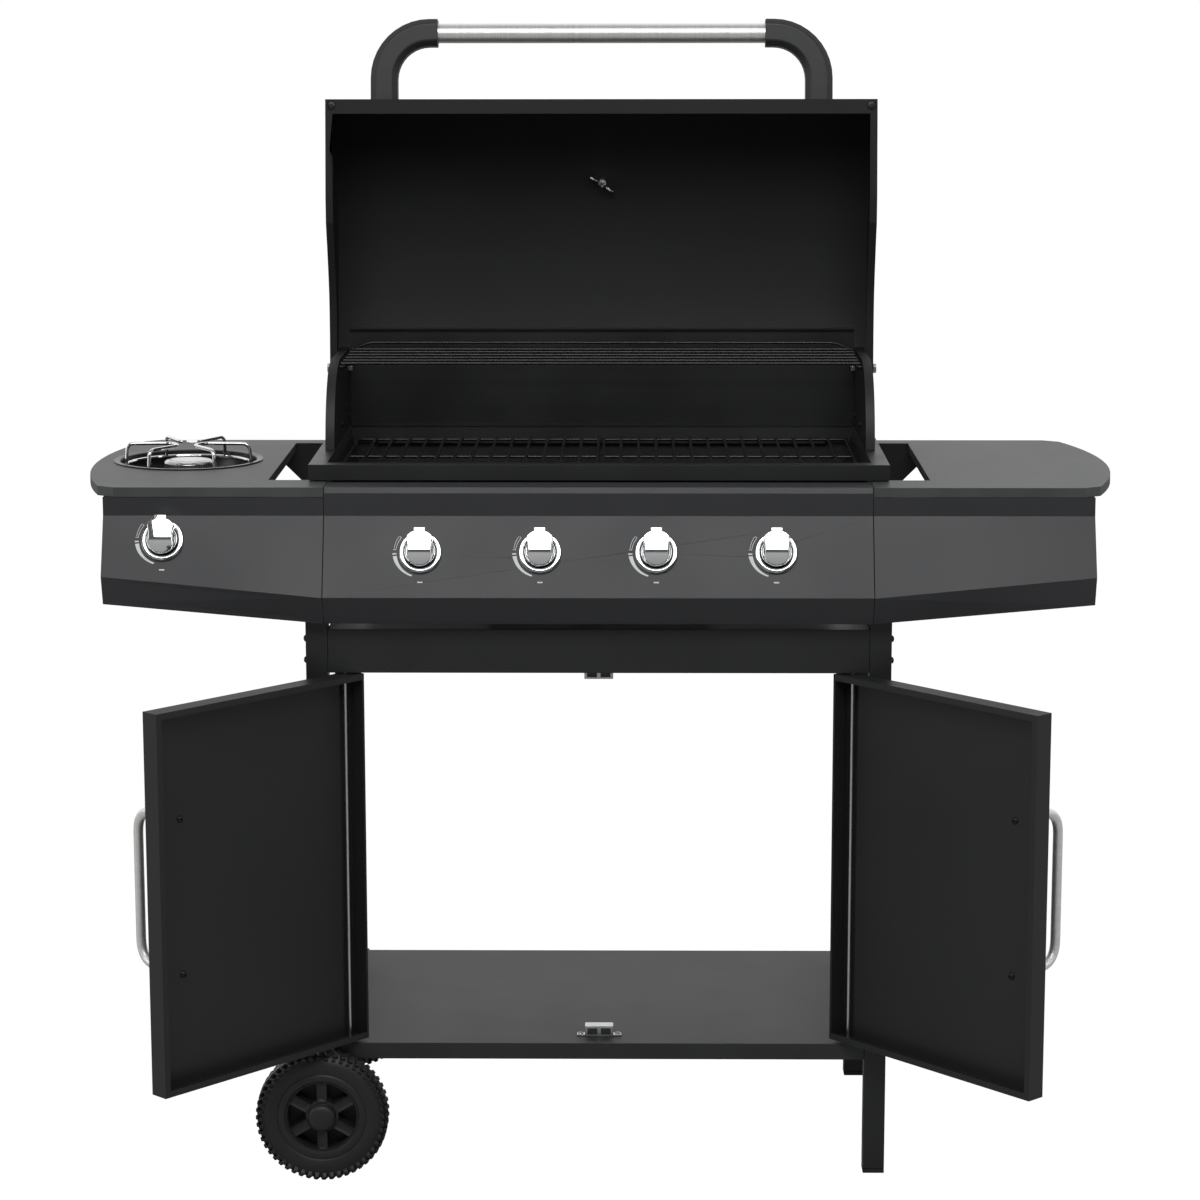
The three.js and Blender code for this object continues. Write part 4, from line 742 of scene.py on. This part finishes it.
# ---- Drip tray and grease cup -------------------------------------------------------------
# A shallow steel tray slides in under the firebox from behind. The grease cup hangs below
# its drain on a loop of wire.
tray_steel = coating("tray_steel", (0.55, 0.55, 0.54), 0.34, metallic=1.0, grain=260, stretch=(0.05, 1, 1),
                     mottle=0.08, patch=10)
dress("drip_tray", tray_steel, 0.0005)
low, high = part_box("grease_cup")
centre = (low + high) / 2
cup_low, cup_top = low.z, low.z + 0.045
cup_radius = (high.x - low.x) / 2 - 0.003
cup = turned(
    [
        (0.0001, cup_low + 0.0015), (0.0100, cup_low + 0.0001), (cup_radius - 0.0070, cup_low),
        (cup_radius - 0.0050, cup_low + 0.0015), (cup_radius, cup_top - 0.0020),
        (cup_radius + 0.0022, cup_top - 0.0022), (cup_radius + 0.0030, cup_top - 0.0010),
        (cup_radius + 0.0022, cup_top), (cup_radius - 0.0008, cup_top),
        (cup_radius - 0.0062, cup_low + 0.0030), (cup_radius - 0.0080, cup_low + 0.0018),
        (0.0001, cup_low + 0.0026),
    ],
    closed=False,
)
stand_over(cup, centre)
reach, loop_foot, loop_top = cup_radius + 0.002, cup_top - 0.001, high.z - 0.0016
hanger = bent_wire(
    [(centre.x, centre.y - reach, loop_foot), (centre.x, centre.y - reach, loop_top),
     (centre.x, centre.y + reach, loop_top), (centre.x, centre.y + reach, loop_foot)],
    0.003, 0.008,
)
settle(join([cup, hanger]), "grease_cup_with_loop", "drip_tray", tray_steel, "steel", "grease_cup")


# ---- Lid ----------------------------------------------------------------------------------
# The lid is a rolled sheet with welded ends and turned-in edges, coated black outside and
# in. It is modelled open, so its parts are laid out closed about the hinge and turned.
def joint(name):
    """What the frame says of one joint."""
    return next(j for j in frame["joints"] if j["name"] == name)


lid_black = coating("lid_satin_black", (0.0115, 0.0122, 0.0120), 0.55, relief=0.00008, mottle=0.1,
                    patch=5, shine=0.26)
dress("lid_shell", lid_black, 0.0006)
hinge = joint("lid_hinge")
opened = Matrix.Translation(Vector(hinge["pos_m"]))
opened = opened @ Matrix.Rotation(math.radians(-hinge["range_deg"][1]), 4, "X")
turn = opened.to_3x3()
lip_x, lip_y, lip_z = 0.3535, -0.3405, -0.0790
for side, sign in (("left", -1), ("right", 1)):
    screw("lid_lip_screw_" + side, opened @ Vector((sign * lip_x, lip_y, lip_z)), turn @ Vector((0, 0, -1)),
          "lid", screw_black, 1.5, 0.35)


# ---- Thermometer --------------------------------------------------------------------------
# A bimetal dial on the front of the lid: a rolled steel case, a pale face with ticks and
# coloured arcs, and a red needle. A wing nut inside the lid holds its stem.
dial_seat, dial_normal = Vector((0, -0.2554, 0.0713)), Vector((0, -0.44247, 0.89678))
stand = upright(opened @ dial_seat, (turn @ dial_normal).normalized())
case_steel = coating("thermometer_case_steel", (0.66, 0.66, 0.65), 0.2, metallic=1.0, grain=500,
                     mottle=0.05, patch=40)
case = turned(
    [
        (0.0001, 0.0008), (0.0140, 0.0008), (0.0140, 0.0022), (0.0245, 0.0024), (0.0262, 0.0034),
        (0.0268, 0.0060), (0.0270, 0.0110), (0.0266, 0.0132), (0.0254, 0.0140), (0.0240, 0.0136),
        (0.0234, 0.0120), (0.0234, 0.0100), (0.0001, 0.0100),
    ],
    96, closed=False,
)
probe = turned(
    [(0.0001, 0.0022), (0.0029, 0.0022), (0.0029, -0.0205), (0.0016, -0.0220), (0.0001, -0.0221)],
    24, closed=False,
)
case = join([case, probe])
case.data.transform(stand)
settle(case, "thermometer_case", "lid", case_steel, "brushed", "thermometer")
face_white = coating("dial_face_white", (0.72, 0.72, 0.69), 0.5, grain=1500, relief=0.00001,
                     mottle=0.03, patch=90)
face_z = 0.0106
face = turned([(0.0001, face_z), (0.0232, face_z), (0.0232, 0.0101), (0.0001, 0.0101)], closed=False)
face.data.transform(stand)
settle(face, "thermometer_face", "lid", face_white, "brushed")
mark_black = coating("dial_black", (0.01, 0.01, 0.01), 0.5, mottle=0.1)
mark_red = coating("dial_red", (0.45, 0.02, 0.015), 0.45, mottle=0.1)
mark_amber = coating("dial_amber", (0.7, 0.3, 0.03), 0.45, mottle=0.1)
lift = Matrix.Translation((0, 0, face_z))
tick_count, tick_start, tick_step, tick_end = 31, 225, 9, 0.0212
ticks = []
for k in range(tick_count):
    angle = tick_start - k * tick_step
    inner = 0.0180 if k % 5 == 0 else 0.0192
    ticks.append(arc_band((inner, inner), (tick_end, tick_end), angle - 0.7, angle + 0.7, 1))
ticks = join(ticks)
ticks.data.transform(stand @ lift)
settle(ticks, "thermometer_ticks", "lid", mark_black, "brushed")
for name, finish, start, end in (("warm", mark_amber, 90, 20), ("hot", mark_red, 18, -44)):
    band = arc_band((0.0148, 0.0148), (0.0168, 0.0168), start, end)
    band.data.transform(stand @ lift)
    settle(band, "thermometer_band_" + name, "lid", finish, "brushed")
bpy.ops.mesh.primitive_cone_add(vertices=4, radius1=0.0011, radius2=0.0002, depth=0.020,
                                location=(0, 0.007, 0))
needle = bpy.context.object
needle.rotation_euler.x = -math.pi / 2
needle.scale = (1, 0.35, 1)
alone(needle)
bpy.ops.object.transform_apply(location=True, rotation=True, scale=True)
needle_z, needle_turn = 0.0115, math.radians(130)
needle.data.transform(Matrix.Translation((0, 0, needle_z)) @ Matrix.Rotation(needle_turn, 4, "Z"))
boss = turned(
    [(0.0001, 0.0126), (0.0018, 0.0124), (0.0022, 0.0116), (0.0022, 0.0107), (0.0001, 0.0107)],
    24, closed=False,
)
needle = join([needle, boss])
needle.data.transform(stand)
settle(needle, "thermometer_needle", "lid", mark_red, "brushed")

nut_zinc = coating("wing_nut_zinc", (0.66, 0.66, 0.65), 0.22, metallic=1.0, grain=900, mottle=0.15,
                   patch=120)
nut_hub = turned(
    [
        (0.0031, -0.0022), (0.0072, -0.0022), (0.0074, -0.0032), (0.0060, -0.0085), (0.0052, -0.0102),
        (0.0031, -0.0104),
    ],
    32,
)
wing_x, wing_z, wing_lean, nut_turn = 0.0118, -0.0105, 0.5, math.radians(35)
wings = []
for sign in (-1, 1):
    bpy.ops.mesh.primitive_cylinder_add(vertices=32, radius=0.0078, depth=0.0030)
    wing = bpy.context.object
    modify(wing, "BEVEL", width=0.0008, segments=3, limit_method="ANGLE")
    wing.data.transform(Matrix.Diagonal((1.15, 0.85, 1, 1)))
    wing.data.transform(Matrix.Rotation(math.pi / 2, 4, "X"))
    wing.data.transform(Matrix.Rotation(sign * wing_lean, 4, "Y"))
    wing.data.transform(Matrix.Translation((sign * wing_x, 0, wing_z)))
    wings.append(smooth(wing, 40))
nut = join([nut_hub, *wings])
nut.data.transform(stand @ Matrix.Rotation(nut_turn, 4, "Z"))
settle(nut, "thermometer_butterfly_nut", "lid", nut_zinc, "zinc", "thermometer_wing_nut")


# ---- Lid handle ---------------------------------------------------------------------------
# A brushed steel tube plugs into two moulded black elbows, which are bolted through the
# lid. The tube's grain runs round it, as a polishing belt leaves it.
tube_steel = coating("handle_brushed_steel", (0.92, 0.92, 0.90), 0.42, metallic=1.0, grain=1.0,
                     stretch=(1500, 40, 40), relief=0.00002, mottle=0.05, patch=0.4)
elbow_plastic = coating("elbow_moulding", (0.020, 0.021, 0.021), 0.42, grain=1600, relief=0.00006,
                        mottle=0.1, patch=30)
low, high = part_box("handle_tube")
radius, rounding = (high.z - low.z) / 2, 0.0016
tube = turned(
    [
        (0.0001, low.x), (radius - rounding, low.x), (radius, low.x + rounding), (radius, 0),
        (radius, high.x - rounding), (radius - rounding, high.x), (0.0001, high.x),
    ],
    96, closed=False,
)
tube.data.transform(facing((0, (low.y + high.y) / 2, (low.z + high.z) / 2), (1, 0, 0)))
settle(tube, "handle_tube_brushed", "lid", tube_steel, "brushed", "handle_tube")
for side in ("left", "right"):
    dress("handle_elbow_" + side, elbow_plastic, 0.0030, 4, 30)


# ---- Doors, handles, pins and catches ------------------------------------------------------
# Two pan-shaped sheet doors turn on zinc rods close to the legs. Each has a bow handle of
# brushed tube, held by a screw through the door at each leg, and meets magnet catches.
door_charcoal = coating("door_charcoal_powder", (0.0135, 0.0140, 0.0146), 0.46, grain=800,
                        relief=0.00008, mottle=0.08, patch=5)
rod_zinc = coating("hinge_rod_zinc", (0.62, 0.62, 0.61), 0.3, metallic=1.0, grain=200,
                   stretch=(1, 1, 0.03), mottle=0.1)
bow_steel = coating("door_handle_brushed", (0.95, 0.95, 0.93), 0.5, metallic=1.0, grain=1.0,
                    stretch=(60, 60, 1500), relief=0.00002, mottle=0.05, patch=0.5)
sheet_y, bow_reach, bow_half, bow_tube = -0.0074, 0.078, 0.096, 0.012
door_gap, bow_inset, screw_sunk = 0.0015, 0.051, 0.0019
for side, sign in (("left", -1), ("right", 1)):
    node = "door_" + side
    dress(node, door_charcoal, 0.0010, 3)
    dress("door_hinge_rod_" + side, rod_zinc, 0.0003, 2, 50)
    hinge = joint(node + "_hinge")
    pin = Vector(hinge["pos_m"])
    swing = Matrix.Translation((pin.x, pin.y, 0))
    swing = swing @ Matrix.Rotation(math.radians(-sum(hinge["range_deg"])), 4, "Z")
    low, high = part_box(node)
    middle = (low.z + high.z) / 2
    x = -sign * (abs(pin.x) - door_gap - bow_inset)
    bow = bent_wire(
        [(x, sheet_y, middle - bow_half), (x, sheet_y - bow_reach, middle - bow_half),
         (x, sheet_y - bow_reach, middle + bow_half), (x, sheet_y, middle + bow_half)],
        bow_tube, 0.030, 10, 6,
    )
    feet = []
    for end, z in (("low", middle - bow_half), ("high", middle + bow_half)):
        foot = turned(
            [(0.0055, 0.0000), (0.0082, 0.0000), (0.0080, 0.0012), (0.0066, 0.0024), (0.0055, 0.0028)], 32,
        )
        foot.data.transform(facing((x, sheet_y, z), (0, -1, 0)))
        feet.append(foot)
        screw(f"{node}_handle_screw_{end}", swing @ Vector((x, sheet_y + screw_sunk, z)),
              swing.to_3x3() @ Vector((0, 1, 0)), node, screw_black, 1.1)
    bow = join([bow, *feet])
    bow.data.transform(swing)
    settle(bow, "door_handle_bow_" + side, node, bow_steel, "brushed", "door_handle_" + side)

catch_zinc = coating("catch_zinc", (0.60, 0.61, 0.61), 0.34, metallic=1.0, grain=1200, mottle=0.12, patch=90)
magnet_grey = coating("catch_magnet", (0.05, 0.05, 0.052), 0.45, metallic=0.4, mottle=0.15, patch=200)
pole_x, pole_y, pole_size = 0.0085, 0.0002, (0.0125, 0.0022, 0.0080)
ear_x, ear_sheet = 0.0235, 0.0016
for node, up in (("upper_magnet_catch", 1), ("lower_magnet_catch", -1)):
    dress(node, catch_zinc, 0.0008, 3)
    low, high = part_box(node)
    centre = (low + high) / 2
    ear_z = high.z - ear_sheet if up > 0 else low.z + ear_sheet
    for side, sign in (("left", -1), ("right", 1)):
        magnet = block((sign * pole_x, low.y + pole_y, centre.z), pole_size)
        modify(magnet, "BEVEL", width=0.0004, segments=2)
        settle(magnet, f"{node}_pole_{side}", "cart", magnet_grey, "zinc")
        screw(f"{node}_screw_{side}", (sign * ear_x, centre.y, ear_z), (0, 0, -up), "cart", screw_zinc, 0.9)
bpy.data.objects.remove(screw_head)


# ---- Studio: floor, light and camera --------------------------------------------------------
# A plain pale floor, a broad soft light high in front, a weaker fill at each side, and a
# white surround that is bright behind the grill and dim in front of it.
bpy.ops.mesh.primitive_plane_add(size=60, location=(0, 10, -0.0005))
floor = bpy.context.object
floor.name = "floor"
pale = bpy.data.materials.new("pale_floor")
pale.use_nodes = True
nodes, links = pale.node_tree.nodes, pale.node_tree.links
seen = nodes.new("ShaderNodeLightPath")
bright = nodes.new("ShaderNodeEmission")
bright.inputs["Color"].default_value = (1, 1, 1, 1)
bright.inputs["Strength"].default_value = 1.02
paint = nodes["Principled BSDF"]
paint.inputs["Base Color"].default_value = (0.42, 0.42, 0.42, 1)
paint.inputs["Roughness"].default_value = 0.8
blend = nodes.new("ShaderNodeMixShader")
links.new(seen.outputs["Is Camera Ray"], blend.inputs["Fac"])
links.new(paint.outputs["BSDF"], blend.inputs[1])
links.new(bright.outputs["Emission"], blend.inputs[2])
links.new(blend.outputs["Shader"], nodes["Material Output"].inputs["Surface"])
floor.data.materials.append(pale)

world = bpy.data.worlds.new("studio")
bpy.context.scene.world = world
world.use_nodes = True
nodes, links = world.node_tree.nodes, world.node_tree.links
sky = nodes["Background"]
place = nodes.new("ShaderNodeTexCoord")
split = nodes.new("ShaderNodeSeparateXYZ")
links.new(place.outputs["Generated"], split.inputs["Vector"])
depth = nodes.new("ShaderNodeMapRange")
depth.inputs["From Min"].default_value = -0.3
depth.inputs["From Max"].default_value = 0.7
depth.inputs["To Min"].default_value = 0.10
depth.inputs["To Max"].default_value = 1.0
links.new(split.outputs["Y"], depth.inputs["Value"])
seen = nodes.new("ShaderNodeLightPath")
pick = nodes.new("ShaderNodeMix")
links.new(seen.outputs["Is Camera Ray"], pick.inputs["Factor"])
links.new(depth.outputs["Result"], pick.inputs["A"])
pick.inputs["B"].default_value = 1.02
links.new(pick.outputs["Result"], sky.inputs["Strength"])
sky.inputs["Color"].default_value = (1, 1, 1, 1)


def softbox(name, place, size, power):
    """A broad soft lamp that faces the middle of the grill."""
    light = bpy.data.lights.new(name, "AREA")
    light.shape = "RECTANGLE"
    light.size, light.size_y = size
    light.energy = power
    obj = bpy.data.objects.new(name, light)
    bpy.context.collection.objects.link(obj)
    obj.location = place
    obj.rotation_euler = (Vector((0, 0, 0.8)) - Vector(place)).to_track_quat("-Z", "Y").to_euler()


softbox("high_front_light", (0, -3.2, 3.6), (3.4, 1.6), 90)
softbox("left_light", (-3.4, -1.2, 1.8), (1.2, 2.4), 22)
softbox("right_light", (3.4, -1.2, 1.8), (1.2, 2.4), 14)

lens = bpy.data.cameras.new("camera")
lens.sensor_width = 36
lens.lens = 99.62
camera = bpy.data.objects.new("camera", lens)
bpy.context.collection.objects.link(camera)
camera.location = (0.0461, -4.1669, 1.4789)
camera.rotation_euler = (math.radians(90 - 10.41), math.radians(0.05), math.radians(0.62))
bpy.context.scene.camera = camera
bpy.context.scene.view_settings.view_transform = "Standard"
